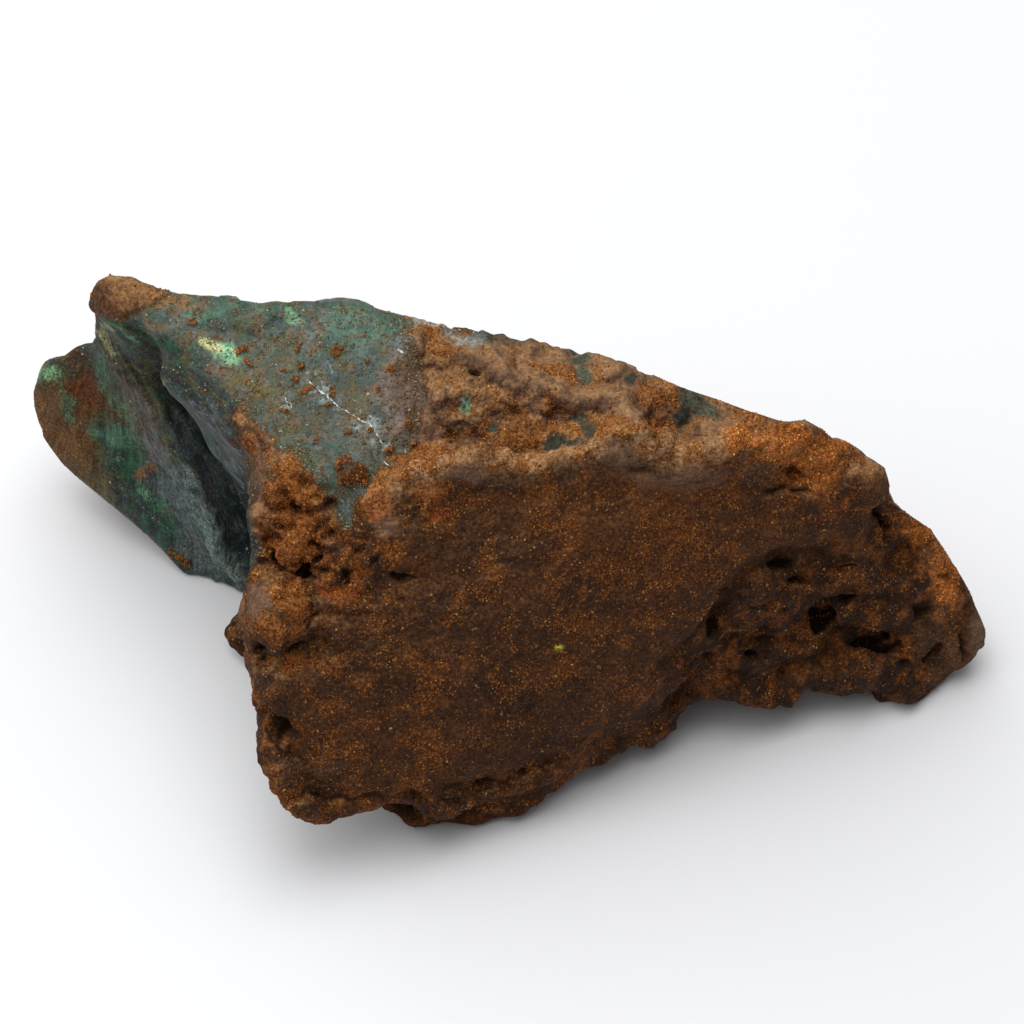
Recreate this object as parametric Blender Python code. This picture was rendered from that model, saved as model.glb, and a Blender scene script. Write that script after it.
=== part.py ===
"""A raw emerald: one rough stone of massive green mineral under a rusty crust.

The stone lies on its own feet: +X runs along its length to the narrow tail, +Y to its back and
+Z up. Lengths are in millimetres until the last step, which scales the stone to metres.
It is blocked out from convex blocks, fused, carved with lumps, pits, ledges and grooves, and
roughened with seeded noise. The feet are then cut to small flats that it rests on.
"""

import math

import bmesh
import bpy
import numpy as np
from mathutils import Matrix, Vector, noise
from mathutils.bvhtree import BVHTree

MM = 0.001
NODE = "stone"
SEED_SHIFT = Vector((31.7, 12.3, 57.1))

# The broad front face leans back, nearly square to SIGHT. Carved features are placed on the
# plane through FACE_MIDDLE square to SIGHT, as (right, up) in mm, and carried to the stone
# along lines that start at EYE.
FACE_LEAN = math.radians(50)
EYE_DISTANCE = 358.0
FACE_MIDDLE = Vector((0.0, 7.5, 22.0))
SIGHT = Vector((0.0, -math.cos(FACE_LEAN), math.sin(FACE_LEAN)))
FACE_RIGHT = Vector((1.0, 0.0, 0.0))
FACE_UP = Vector((0.0, math.sin(FACE_LEAN), math.cos(FACE_LEAN)))
EYE = FACE_MIDDLE + SIGHT * EYE_DISTANCE

CELL = 0.5  # edge of the voxels that fuse the blocks
ROUNDING = 3  # passes that ease the corners where blocks meet
TRIANGLES = 9300

# Corners of the convex blocks, (x, y, z) in mm. The feet reach a little below the ground, z = 0,
# where they are cut off flat.
FACE_LIP = [
    (-16.8, 4.4, 13), (-16.8, 0.7, 11.5), (-16.6, -3.9, 9.2), (-14.0, -5.5, 8.2),
    (-10.8, -4.7, 7.2), (-8.1, -3.0, 5.6), (-4.6, -2.5, 3.6), (-0.8, -1.9, 3.2),
    (3.1, 0.0, 4), (7, 2.5, 5.2), (9.9, 4.6, 7.5), (12.1, 6, 10), (14.6, 7.7, 13),
    (18.4, 9.2, 15), (21.6, 10.4, 15.8), (23.8, 11.9, 16.5),
]
FACE_RIM = [
    (-16.4, 7.3, 17.5), (-16.2, 10.9, 23.8), (-13.3, 8.2, 24.3), (-8.9, 7.4, 24.6),
    (-2.6, 9, 25.7), (6.1, 10.7, 26), (11.8, 10.2, 24), (15.6, 11.8, 23.9),
    (18.2, 13, 23.5), (23.6, 12.4, 19.4),
]
TOP_RIDGE = [
    (-15.4, 20.1, 28), (-10.3, 19.6, 28.5), (-5.2, 18, 26.9), (1.1, 17.4, 27),
    (5.6, 16.6, 26.4), (8.7, 15.9, 25.1), (13.2, 14.2, 23.8), (18.3, 13.8, 23.3),
    (22.2, 13.9, 20.8), (24, 13.5, 18.7),
]
BACK = [
    (-15, 24.5, 21), (-5, 24, 19), (6, 22.5, 17.5), (16, 19.5, 14), (24, 17.5, 11),
    (-15, 27, 8), (-3, 27.5, 6), (9, 25, 6), (19, 20.5, 6),
    (-13, 26.5, 1.5), (-2, 26.5, -0.6), (5, 24.5, -0.6), (10, 22.5, 1.5), (18, 18.5, 3),
]
UNDER_LEDGE = [
    (-5.4, -1.5, -0.4), (-2.7, -1.5, 0.1), (-0.8, -1.4, 0.8), (3.1, 0.9, 1.5), (7, 3.6, 2.4),
    (10.9, 4.8, 3.0), (-5.5, 0.5, 4), (3, 2.5, 5), (10.5, 6.5, 8), (-6, 6, -0.4),
    (-1, 9, 0.2), (4, 10, 2), (12, 12, 3.5), (-5, 12, 4),
]
FRONT_FOOT = [
    (-9.2, 1.5, 2.2), (-8, -0.5, 1.0), (-6.6, -1.4, 0.2), (-5.6, -1.1, -0.8), (-7, 0.6, -0.8),
    (-8.4, 3.5, -0.8), (-3, 6, -0.8), (-8.5, 1, 5), (-5.5, 0, 4.5), (-9.5, 7, 4), (-3, 8, 5),
]
CORNER_KNOB = [
    (-14.4, -5.3, 6.2), (-12.5, -5.1, 5.8), (-13.4, -3.8, 5.3), (-11.2, -3.3, 6.0),
    (-15.4, -3, 7.6), (-14.4, -5.2, 8.6), (-11.2, -4.8, 8.2), (-12, 1, 8.5),
]
TAIL = [
    (8, 5.6, 9), (10.9, 5.4, 4.4), (14.9, 7, 3.8), (18.8, 7.6, 4.1), (21.4, 8, 3.8),
    (12.1, 6.6, 9), (14.6, 8.2, 12), (18.4, 9.6, 14.4), (23.4, 12.2, 16),
    (24.6, 13.2, 17.1), (27.6, 13.6, 13.1), (29.6, 13.2, 9.6), (30.6, 12.6, 7.4),
    (31.7, 12.2, 3.4), (31.4, 12.3, 1.4), (28.6, 10.6, 1.0),
    (25, 17, 13), (28, 16.5, 7), (28.5, 16, 2), (20, 19, 3), (10, 18, 3),
]
TAIL_FOOT = [
    (23, 9.1, 0.8), (24.8, 9.4, -0.7), (27, 9.8, -0.7), (28.4, 10.7, 0.4), (27.5, 13.5, -0.7),
    (24, 13.5, -0.7), (22.5, 10.5, 4), (28.5, 11, 4), (27, 15, 4), (23, 15, 4),
]
BEAK = [
    (-27.2, 23.2, 26.4), (-25.3, 23, 27.3), (-27.5, 22.8, 25), (-23.4, 21.8, 26.8),
    (-21.1, 21.1, 26.8), (-15.4, 19.9, 27.7), (-25, 20.2, 23.8), (-21.3, 15.6, 24.4),
    (-18.9, 13.1, 24.2), (-16.4, 11, 23.8), (-27.2, 24, 21), (-25, 25.5, 20),
    (-22, 20, 18), (-17, 16, 14), (-14, 13, 12), (-14, 24.5, 20), (-22, 25.5, 19),
]
FIN = [
    (-27.2, 26, 17.6), (-29.4, 26.8, 16.4), (-31.4, 27.5, 14.4), (-32.5, 27.9, 10),
    (-32.4, 27.9, 6.4), (-30.6, 27.4, 3.3), (-28, 25.6, 1.7), (-24.6, 22.9, 0.3),
    (-22, 20.4, -0.9), (-17.9, 18.3, -0.9), (-24, 24, 15), (-19, 20, 10), (-31, 29.5, 8),
    (-28, 29.5, 3), (-25, 28.5, 14), (-14, 26, 14), (-22, 28.5, 0), (-14, 26, 0.6),
    (-22, 24, -0.9),
    (-13, 17, 1), (-13, 16, 10),
]
FIN_WEB = [
    (-26.7, 23.3, 22.4), (-23.8, 20.8, 18), (-21.2, 19.3, 12.5), (-18.9, 18.6, 5),
    (-27.0, 25.6, 19), (-26, 26.6, 17), (-24, 25.4, 21.5), (-17, 27.5, 14), (-16, 26, 20),
    (-14, 18, 18), (-14, 17, 6), (-28.5, 26.6, 15), (-25.6, 24.4, 24),
]
BACK_SHELF = [
    (-15, 28.8, 3), (-15, 28.6, 10), (-13, 26.5, 14.5), (-4, 29.2, 7.5), (-3, 28.6, 1.5),
    (3, 27.6, 9), (8, 26.2, 2), (13, 24, 7), (5, 25.5, 12.5), (-6, 26.6, 14), (-8, 27.5, 0.8),
    (16, 21, 2.5), (-10, 20, 2), (8, 16, 4),
]
BACK_KNOLL = [
    (6, 23.6, 12), (9, 23.2, 15.2), (14, 21.4, 14.2), (18, 19.8, 12.5), (15, 22, 9.5),
    (11, 20, 17.6), (17, 17.5, 17), (10, 16, 12), (18, 15, 12),
]
HOLLOW_FOOT = [
    (-19.2, 14.6, 0), (-19.0, 12.9, 0.2), (-19.6, 14.4, 1.9), (-18.8, 12.8, 2.2),
    (-18.8, 14.4, 3.2), (-17.0, 11.6, 0.4), (-15.5, 12, 3), (-16, 17, 0), (-16, 17, 3.5),
]
BLOCKS = {
    "core": FACE_LIP + FACE_RIM + TOP_RIDGE + BACK,
    "under_ledge": UNDER_LEDGE,
    "front_foot": FRONT_FOOT,
    "corner_knob": CORNER_KNOB,
    "tail": TAIL,
    "tail_foot": TAIL_FOOT,
    "beak": BEAK,
    "fin": FIN,
    "fin_web": FIN_WEB,
    "hollow_foot": HOLLOW_FOOT,
    "back_shelf": BACK_SHELF,
    "back_knoll": BACK_KNOLL,
}

# Lumps and pits as (right, up, radius, height) in mm; a pit has a negative height.
PILLAR_LUMPS = [
    (-14.9, 2.6, 1.9, 0.7), (-15.7, -0.8, 1.9, 0.8), (-13.6, -2.4, 1.0, 0.7),
    (-14.9, -6.2, 2.7, 1.3), (-14.4, -11.0, 2.2, 0.6), (-15.3, -14.3, 1.6, 0.4),
    (-10.1, 2.4, 1.2, 0.9), (-6.6, -3.0, 2.2, 0.7),
]
PILLAR_PITS = [
    (-14.6, -3.1, 1.1, -1.6), (-13.2, -4.0, 1.1, -1.4), (-12.4, -3.0, 0.9, -1.0),
    (-10.2, -3.9, 0.9, -0.9), (-15.5, -8.4, 0.9, -1.1), (-11.9, 0.6, 1.2, -0.7),
]
TOP_LUMPS = [
    (-6.2, 10.9, 1.2, 0.5), (-4.7, 7.3, 1.1, 0.5), (0.0, 7.9, 2.2, 0.5),
    (3.6, 7.6, 2.0, 0.7), (7.0, 7.2, 2.4, 0.8), (-2.3, 9.1, 1.6, 0.6), (10.4, 7.9, 1.8, 0.6),
    (18.4, 5.3, 1.5, 0.7), (20.6, 3.9, 1.8, 0.5), (22.6, 1.7, 2.2, 0.9), (25.2, -1.5, 2.0, 0.3),
    (15.6, 5.9, 1.6, 0.4), (-25.3, 13.7, 1.6, 0.5),
]
TOP_PITS = [
    (-2.2, 8.7, 1.0, -0.6), (-3.0, 6.8, 0.9, -0.5), (4.7, 5.8, 1.8, -0.6), (2.4, 4.5, 1.4, -0.5),
    (17.8, 2.3, 1.9, -0.9), (11.3, 6.6, 1.7, -0.5), (8.1, 2.8, 1.1, -0.4), (22.8, 0.1, 1.0, -0.8),
]
WALL_PITS = [
    (19.5, -6.8, 1.7, -2.6), (13.2, -7.3, 1.2, -1.9), (15.2, -8.9, 1.2, -1.0),
    (17.4, -10.0, 1.4, -1.0), (18.0, -4.0, 1.2, -1.3), (25.0, -3.0, 1.4, -1.1),
    (26.0, -6.0, 1.2, -1.0), (27.3, -4.4, 1.3, -0.9), (26.6, -8.6, 1.3, -1.3),
    (10.6, -10.4, 0.9, -1.1), (11.7, -10.8, 0.9, -0.9), (20.4, -9.2, 1.6, -1.3),
]
WALL_LUMPS = [
    (28.4, -7.8, 2.2, 0.3), (24.5, -11.2, 1.7, 0.5), (22.6, -10.4, 1.8, 0.8),
    (22.5, -6.9, 1.6, 0.5), (24.8, -5.0, 1.5, 0.5), (16.4, -6.6, 1.8, 0.5),
    (18.6, -8.6, 1.2, 0.4),
]
FOOT_PITS = [(-6.7, -18.6, 1.5, -1.9), (-3.3, -18.7, 0.9, -0.9)]
FOOT_LUMPS = [(-13.0, -18.4, 1.3, 1.0)]
FIN_LUMPS = [(-28.0, 10.2, 1.2, 0.4), (-20.9, -3.3, 1.2, 0.5), (-30.2, 7.4, 1.6, 0.3)]
DABS = (PILLAR_LUMPS + PILLAR_PITS + TOP_LUMPS + TOP_PITS + WALL_PITS + WALL_LUMPS
        + FOOT_PITS + FOOT_LUMPS + FIN_LUMPS)

# Ridges and grooves: the (right, up) points they run through, half width and height in mm.
CREASES = [
    # the rolled rim of the broad face, and the sandy valley behind it
    ([(-8.9, 1.4), (-3.4, 3.5), (1.8, 3.8), (6.4, 4.7), (9.0, 4.1), (12.0, 3.8), (14.2, 4.6),
      (17.6, 4.9)], 1.9, 0.9),
    ([(-7.6, 3.4), (-3.2, 5.0), (1.6, 5.2), (4.6, 5.5)], 1.4, -0.9),
    ([(9.2, 5.4), (12.0, 5.1), (14.6, 6.1)], 1.2, -0.8),
    # the ledge that steps down round the lower left corner of the face
    ([(-16.4, -13.2), (-14.0, -14.4), (-13.4, -16.2), (-12.6, -17.6), (-10.6, -18.3)],
     1.1, -1.3),
    # slits across the left pillar
    ([(-16.3, -8.9), (-13.2, -8.7), (-11.6, -8.5)], 0.8, -1.3),
    ([(-7.8, -4.0), (-6.0, -4.1)], 0.8, -0.8),
    ([(-11.8, -6.2), (-9.4, -6.4)], 0.8, -0.4),
    # slots and shelves of the cavernous wall under the face
    ([(21.0, -8.0), (22.6, -8.3), (24.6, -8.4)], 1.0, -2.6),
    ([(20.0, -5.3), (22.0, -5.8), (23.6, -5.8)], 0.8, -1.2),
    ([(17.0, -3.2), (18.4, -3.5), (20.6, -3.4)], 0.9, -1.5),
    ([(13.4, -5.6), (15.4, -3.6), (17.4, -2.9), (20.0, -2.2)], 1.1, -1.1),
    ([(9.6, -9.6), (11.6, -8.6), (12.6, -7.0)], 0.9, -1.0),
    ([(14.0, -8.2), (16.4, -8.0), (19.0, -8.4)], 0.9, -1.1),
    ([(8.0, -12.6), (11.0, -11.8), (15.0, -10.6)], 0.9, -0.5),
    ([(23.6, 0.4), (24.4, -1.8), (24.6, -4.0)], 0.8, -0.6),
    # the second layer under the lower edge
    ([(-4.6, -17.6), (-0.6, -17.0), (2.6, -15.8), (5.4, -14.4), (7.6, -13.4)], 0.9, -0.8),
    # the trough of the fluted side and the crest that bounds it
    ([(-23.6, 10.4), (-21.6, 6.4), (-19.6, 2.4), (-17.8, -1.8)], 1.9, -2.4),
    ([(-25.6, 10.6), (-22.8, 6.6), (-20.6, 2.0), (-18.4, -2.4)], 1.1, 0.8),
]

# Outlines on the face plane, (right, up) in mm, of regions with their own relief.
BROAD_FACE = [
    (-12.8, -2.2), (-9.4, 0.4), (-4.0, 2.8), (1.8, 3.0), (6.4, 4.0), (12.0, 3.0), (15.6, 3.4),
    (21.0, -0.8), (17.6, -2.8), (13.4, -4.8), (11.6, -8.4), (7.4, -12.8), (2.4, -15.8),
    (-3.6, -17.2), (-9.6, -18.2), (-13.0, -16.4), (-15.2, -12.6), (-14.2, -8.6), (-12.4, -6.4),
]
GREEN_FACE = [
    (-24.5, 13.2), (-20.5, 12.8), (-14.4, 12.9), (-10.2, 12.8), (-6.8, 11.4), (-7.6, 8.6),
    (-6.0, 5.0), (-8.6, 2.6), (-9.8, -0.6), (-11.2, 2.4), (-14.0, 4.2), (-18.0, 6.8),
    (-22.6, 10.2), (-25.4, 12.0),
]
FLUTED_SIDE = [
    (-26.2, 12.4), (-22.6, 9.8), (-18.6, 6.6), (-16.2, 4.0), (-16.0, 0.6), (-16.0, -3.2),
    (-16.6, -5.2), (-18.6, -4.6), (-24.4, -1.2), (-29.0, 3.0), (-31.0, 7.0), (-28.0, 10.6),
]
CAVERNOUS_WALL = [
    (20.0, -0.6), (24.0, 0.0), (28.0, -3.0), (30.5, -8.0), (28.0, -11.0), (23.0, -12.5),
    (17.0, -11.5), (9.0, -13.5), (6.0, -15.0), (10.2, -10.8), (12.6, -7.6), (14.2, -4.8),
]
FLUTE_TOP = Vector((-26.0, 22.5, 25.0))
FLUTE_FOOT = Vector((-17.6, 17.6, 1.5))
FLUTE_WIDTH = 2.2

CRUST_COLOR = (0.060, 0.026, 0.011, 1.0)
CRUST_ROUGHNESS = 0.85


def hull_block(name, corners):
    """One convex block of the block-out."""
    shape = bmesh.new()
    for corner in corners:
        shape.verts.new(corner)
    bmesh.ops.convex_hull(shape, input=shape.verts)
    loose = [vert for vert in shape.verts if not vert.link_faces]
    bmesh.ops.delete(shape, geom=loose, context="VERTS")
    bmesh.ops.recalc_face_normals(shape, faces=shape.faces)
    mesh = bpy.data.meshes.new(name)
    shape.to_mesh(mesh)
    shape.free()
    return mesh


def apply_modifiers(stone):
    """Makes the evaluated shape the stone's own mesh."""
    graph = bpy.context.evaluated_depsgraph_get()
    shaped = bpy.data.meshes.new_from_object(stone.evaluated_get(graph))
    stone.modifiers.clear()
    stone.data = shaped


def fuse(stone, cell, passes):
    """Rebuilds the skin as one closed surface of even quads and eases its corners."""
    remesh = stone.modifiers.new("fuse", "REMESH")
    remesh.mode = "VOXEL"
    remesh.voxel_size = cell
    ease = stone.modifiers.new("ease", "SMOOTH")
    ease.iterations = passes
    ease.factor = 0.5
    apply_modifiers(stone)


def block_out():
    """All the blocks fused into one stone."""
    joined = bmesh.new()
    for name, corners in BLOCKS.items():
        joined.from_mesh(hull_block(name, corners))
    mesh = bpy.data.meshes.new(NODE)
    joined.to_mesh(mesh)
    joined.free()
    stone = bpy.data.objects.new(NODE, mesh)
    bpy.context.scene.collection.objects.link(stone)
    fuse(stone, CELL, ROUNDING)
    return stone


def skin(stone):
    """The stone's vertices and their normals as arrays of rows."""
    count = len(stone.data.vertices)
    points = np.empty(count * 3)
    normals = np.empty(count * 3)
    stone.data.vertices.foreach_get("co", points)
    stone.data.vertex_normals.foreach_get("vector", normals)
    return points.reshape(-1, 3), normals.reshape(-1, 3)


def move_skin(stone, points):
    stone.data.vertices.foreach_set("co", points.ravel())
    stone.data.update()


def landed(tree, right, up):
    """Where the line from the eye through a point of the face plane meets the stone."""
    aim = FACE_MIDDLE + FACE_RIGHT * right + FACE_UP * up
    spot, normal, _, _ = tree.ray_cast(EYE, (aim - EYE).normalized())
    if spot is None:
        spot, normal, _, _ = tree.find_nearest(aim)
    return np.array(spot), np.array(normal)


def falloff(distance, radius):
    """1 at the middle of a stroke, easing to 0 at its radius."""
    reach = np.clip(1 - distance / radius, 0, 1)
    return reach * reach * (3 - 2 * reach)


def agreement(normals, normal):
    """How far the skin faces the same way as the spot that a stroke lands on."""
    return np.clip(normals @ normal + 0.2, 0, 1)


def along_path(points, path):
    """The distance of every point from a path of spots."""
    nearest = np.full(len(points), np.inf)
    for start, end in zip(path, path[1:]):
        run = end - start
        share = np.clip((points - start) @ run / (run @ run), 0, 1)
        gap = np.linalg.norm(points - start - share[:, None] * run, axis=1)
        nearest = np.minimum(nearest, gap)
    return nearest


def carve(stone):
    """Raises the lumps and ridges, and sinks the pits and grooves."""
    tree = BVHTree.FromObject(stone, bpy.context.evaluated_depsgraph_get())
    points, normals = skin(stone)
    lift = np.zeros(len(points))
    for right, up, radius, height in DABS:
        spot, normal = landed(tree, right, up)
        gap = np.linalg.norm(points - spot, axis=1)
        lift += height * falloff(gap, radius * 1.3) * agreement(normals, normal)
    for line, half_width, height in CREASES:
        landings = [landed(tree, right, up) for right, up in line]
        path = [spot for spot, _ in landings]
        normal = sum(normal for _, normal in landings)
        normal = normal / np.linalg.norm(normal)
        gap = along_path(points, path)
        lift += height * falloff(gap, half_width * 1.3) * agreement(normals, normal)
    move_skin(stone, points + normals * lift[:, None])


def on_face_plane(points):
    """The (right, up) at which each point is seen from the eye."""
    sight = np.array(SIGHT)
    offset = points - np.array(EYE)
    scale = EYE_DISTANCE / -(offset @ sight)
    right = (offset @ np.array(FACE_RIGHT)) * scale
    up = (offset @ np.array(FACE_UP)) * scale
    return right, up


def inside(outline, right, up, blur):
    """1 well inside an outline on the face plane and 0 well outside, over a blurred edge."""
    nearest = np.full(len(right), np.inf)
    crossings = np.zeros(len(right), dtype=int)
    for (x0, y0), (x1, y1) in zip(outline, outline[1:] + outline[:1]):
        run = np.array((x1 - x0, y1 - y0))
        share = np.clip(((right - x0) * run[0] + (up - y0) * run[1]) / (run @ run), 0, 1)
        gap = np.hypot(right - x0 - share * run[0], up - y0 - share * run[1])
        nearest = np.minimum(nearest, gap)
        spans = (y0 > up) != (y1 > up)
        with np.errstate(divide="ignore", invalid="ignore"):
            crossings += spans & (right < x0 + (up - y0) * run[0] / run[1])
    signed = np.where(crossings % 2 == 1, nearest, -nearest)
    return np.clip(signed / blur + 0.5, 0, 1)


def zone_weights(points, normals):
    """How strongly each kind of relief holds at every vertex."""
    right, up = on_face_plane(points)
    seen = np.clip((normals @ np.array(SIGHT)) * 4 + 0.8, 0, 1)
    return {
        "broad": inside(BROAD_FACE, right, up, 2.0) * seen,
        "green": inside(GREEN_FACE, right, up, 1.5) * seen,
        "fluted": inside(FLUTED_SIDE, right, up, 1.2) * seen,
        "cavernous": inside(CAVERNOUS_WALL, right, up, 1.5) * seen,
        "hidden": 1 - seen,
    }


def cobbles(point, size):
    """Rounded lumps packed against each other, -1 in the seams to 1 on top."""
    first, second = noise.voronoi(point / size)[0][:2]
    return min(1.0, 2.4 * (second - first)) * 1.2 - 0.6


def wander(point, size):
    """Soft rise and fall from -1 to 1."""
    return noise.fractal(point / size, 1.0, 2.0, 3)


def flutes(point):
    """Ribs that run from the beak down to the foot of the fluted side."""
    run = (FLUTE_FOOT - FLUTE_TOP).normalized()
    offset = point - FLUTE_TOP
    across = offset - run * offset.dot(run)
    place = across.x * 0.5 + across.y * 0.7 + across.z * 0.5
    place += 0.5 * wander(point + SEED_SHIFT, 6.0)
    return math.sin(2 * math.pi * place / FLUTE_WIDTH)


def roughen(stone):
    """Adds the relief of each region: cobbly crust, smooth face, flutes, caverns, broken back."""
    points, normals = skin(stone)
    weights = zone_weights(points, normals)
    lift = np.zeros(len(points))
    for index, row in enumerate(points):
        point = Vector(row)
        broad = weights["broad"][index]
        green = weights["green"][index]
        fluted = weights["fluted"][index]
        cavern = weights["cavernous"][index]
        hidden = weights["hidden"][index]
        smooth = min(1.0, broad + green + fluted)
        crust = (1 - smooth) * (1 - 0.3 * hidden)
        slow = wander(point, 7.0)
        lift[index] += 0.35 * slow * (1 - 0.5 * green)
        lift[index] += crust * 0.50 * cobbles(point, 3.4)
        lift[index] += crust * 0.30 * cobbles(point + SEED_SHIFT, 1.9)
        lift[index] += cavern * 0.70 * min(0.3, cobbles(point + SEED_SHIFT, 2.6))
        lift[index] += broad * 0.18 * wander(point + SEED_SHIFT, 2.4)
        lift[index] += green * 0.16 * wander(point + SEED_SHIFT, 1.8)
        lift[index] += fluted * 0.34 * flutes(point)
        lift[index] += hidden * 1.40 * (abs(wander(point + SEED_SHIFT, 8.0)) - 0.3)
    move_skin(stone, points + normals * lift[:, None])


def thin_out(stone):
    """Leaves large triangles where the stone is plain and small ones where it is not."""
    mesh = bmesh.new()
    mesh.from_mesh(stone.data)
    bmesh.ops.triangulate(mesh, faces=mesh.faces)
    mesh.to_mesh(stone.data)
    mesh.free()
    thin = stone.modifiers.new("thin out", "DECIMATE")
    thin.ratio = TRIANGLES / len(stone.data.polygons)
    apply_modifiers(stone)


def flatten_feet(stone):
    """Cuts the lowest points off, which leaves the flats that the stone rests on."""
    mesh = bmesh.new()
    mesh.from_mesh(stone.data)
    everything = list(mesh.verts) + list(mesh.edges) + list(mesh.faces)
    cut = bmesh.ops.bisect_plane(
        mesh, geom=everything, dist=0.0001, plane_co=(0, 0, 0), plane_no=(0, 0, 1),
        clear_inner=True)
    rim = [item for item in cut["geom_cut"] if isinstance(item, bmesh.types.BMEdge)]
    feet = bmesh.ops.contextual_create(mesh, geom=rim)["faces"]
    if not feet:
        feet = bmesh.ops.holes_fill(mesh, edges=rim)["faces"]
    bmesh.ops.triangulate(mesh, faces=feet)
    bmesh.ops.recalc_face_normals(mesh, faces=mesh.faces)
    mesh.to_mesh(stone.data)
    mesh.free()
    stone.data.update()


def settle(stone):
    """Moves the middle of the underside to the origin and scales millimetres to metres."""
    points, _ = skin(stone)
    low = points.min(axis=0)
    high = points.max(axis=0)
    middle = Vector(((low[0] + high[0]) / 2, (low[1] + high[1]) / 2, low[2]))
    stone.data.transform(Matrix.Scale(MM, 4) @ Matrix.Translation(-middle))
    print("moved by", [round(-value, 3) for value in middle], "mm")


def finish(stone):
    """Smooth shading and the stone's own material."""
    material = bpy.data.materials.new("stone")
    material.use_nodes = True
    shader = material.node_tree.nodes["Principled BSDF"]
    shader.inputs["Base Color"].default_value = CRUST_COLOR
    shader.inputs["Roughness"].default_value = CRUST_ROUGHNESS
    stone.data.materials.clear()
    stone.data.materials.append(material)
    for polygon in stone.data.polygons:
        polygon.use_smooth = True
    stone.data.name = NODE


def main():
    for item in list(bpy.data.objects):
        bpy.data.objects.remove(item)
    stone = block_out()
    carve(stone)
    roughen(stone)
    fuse(stone, CELL, 1)
    thin_out(stone)
    flatten_feet(stone)
    settle(stone)
    finish(stone)


main()
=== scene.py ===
# %% [markdown]
# # A raw emerald in its crust
# A rough stone as it comes out of the ground: dark waxy green mineral, most of it hidden under a
# rusty crust of iron-stained sand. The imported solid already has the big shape, so this lesson adds
# what an eye sees from a hand away: sand, lumps, pits, folds, stains and a few loose grains.
# Everything is measured in millimetres on the stone and turned into metres at the end of a step.

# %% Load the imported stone
import math

import bmesh
import bpy
import numpy as np
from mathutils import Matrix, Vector, noise
from mathutils.bvhtree import BVHTree


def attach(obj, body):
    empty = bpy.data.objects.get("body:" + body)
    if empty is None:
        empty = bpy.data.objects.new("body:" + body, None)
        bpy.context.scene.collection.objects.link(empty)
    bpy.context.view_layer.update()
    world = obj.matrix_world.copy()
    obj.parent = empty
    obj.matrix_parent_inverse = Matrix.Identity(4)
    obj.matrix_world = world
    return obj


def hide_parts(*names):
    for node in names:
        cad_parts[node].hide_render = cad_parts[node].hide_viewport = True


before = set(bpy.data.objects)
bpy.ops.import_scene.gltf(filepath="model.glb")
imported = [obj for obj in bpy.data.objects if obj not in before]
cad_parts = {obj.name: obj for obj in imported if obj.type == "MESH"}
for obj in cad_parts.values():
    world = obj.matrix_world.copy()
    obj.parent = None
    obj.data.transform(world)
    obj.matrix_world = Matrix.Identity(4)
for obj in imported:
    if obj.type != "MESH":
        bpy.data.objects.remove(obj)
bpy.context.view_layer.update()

MM = 0.001

# %% [markdown]
# ## A place on the stone
# A stone has no straight edges to measure from. So every feature gets a place on one flat sheet
# that is held square-on to the broad front face: so many millimetres right and up from its middle.
# Lines from one eye point carry each place onto the rough surface behind the sheet.

# %% The sheet in front of the stone
FACE_LEAN = math.radians(50)
EYE_DISTANCE = 357.8  # mm
FACE_MIDDLE = np.array((0.28, -4.89, 22.0))
SIGHT = np.array((0.0, -math.cos(FACE_LEAN), math.sin(FACE_LEAN)))
FACE_RIGHT = np.array((1.0, 0.0, 0.0))
FACE_UP = np.array((0.0, math.sin(FACE_LEAN), math.cos(FACE_LEAN)))
EYE = FACE_MIDDLE + SIGHT * EYE_DISTANCE


def place_on_sheet(spots):
    """How far right and up each point of the stone lies on the sheet, in mm."""
    offset = spots - EYE
    scale = EYE_DISTANCE / -(offset @ SIGHT)
    return offset @ FACE_RIGHT * scale, offset @ FACE_UP * scale


print("eye at", EYE.round(1), "mm, looking down", round(math.degrees(FACE_LEAN)), "degrees")

# %% [markdown]
# ## A finer skin
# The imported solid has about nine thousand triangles, each as large as a lump of the crust. One
# round of subdivision rounds its facets, and a voxel remesh then lays an even net over it, close
# enough to hold the lumps and slits that follow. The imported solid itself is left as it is.

# %% Lay an even net over the solid
NET = 0.165  # mm between neighbouring points of the net
WELD = 0.001  # mm: corners closer than this become one
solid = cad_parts["stone"]


def welded_copy(mesh):
    """A copy in which the triangles share their corners again."""
    work = bmesh.new()
    work.from_mesh(mesh)
    bmesh.ops.remove_doubles(work, verts=work.verts, dist=WELD * MM)
    copy = bpy.data.meshes.new("skin")
    work.to_mesh(copy)
    work.free()
    return copy


def settled(item):
    """The item's mesh with all its modifiers worked in."""
    graph = bpy.context.evaluated_depsgraph_get()
    mesh = bpy.data.meshes.new_from_object(item.evaluated_get(graph))
    item.modifiers.clear()
    return mesh


def show(item):
    """Links an object into the scene, without which it would be neither worked on nor seen."""
    bpy.context.scene.collection.objects.link(item)
    return item


def ease_skin(rounds):
    """Smooths the skin for some rounds, and works that and all before it into its mesh."""
    ease = skin.modifiers.new("ease", "SMOOTH")
    ease.factor = 0.5
    ease.iterations = rounds
    skin.data = settled(skin)


skin = show(bpy.data.objects.new("skin", welded_copy(solid.data)))
rounder = skin.modifiers.new("rounder", "SUBSURF")
rounder.levels = 1
rounder.render_levels = 1
net = skin.modifiers.new("net", "REMESH")
net.mode = "VOXEL"
net.voxel_size = NET * MM
ease_skin(8)
print("the net has", len(skin.data.vertices), "points")


# %% Read the net as rows of numbers
def triples(items, what):
    """One measure of all points or faces, as rows of three numbers."""
    numbers = np.empty(len(items) * 3)
    items.foreach_get(what, numbers)
    return numbers.reshape(-1, 3)


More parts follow.
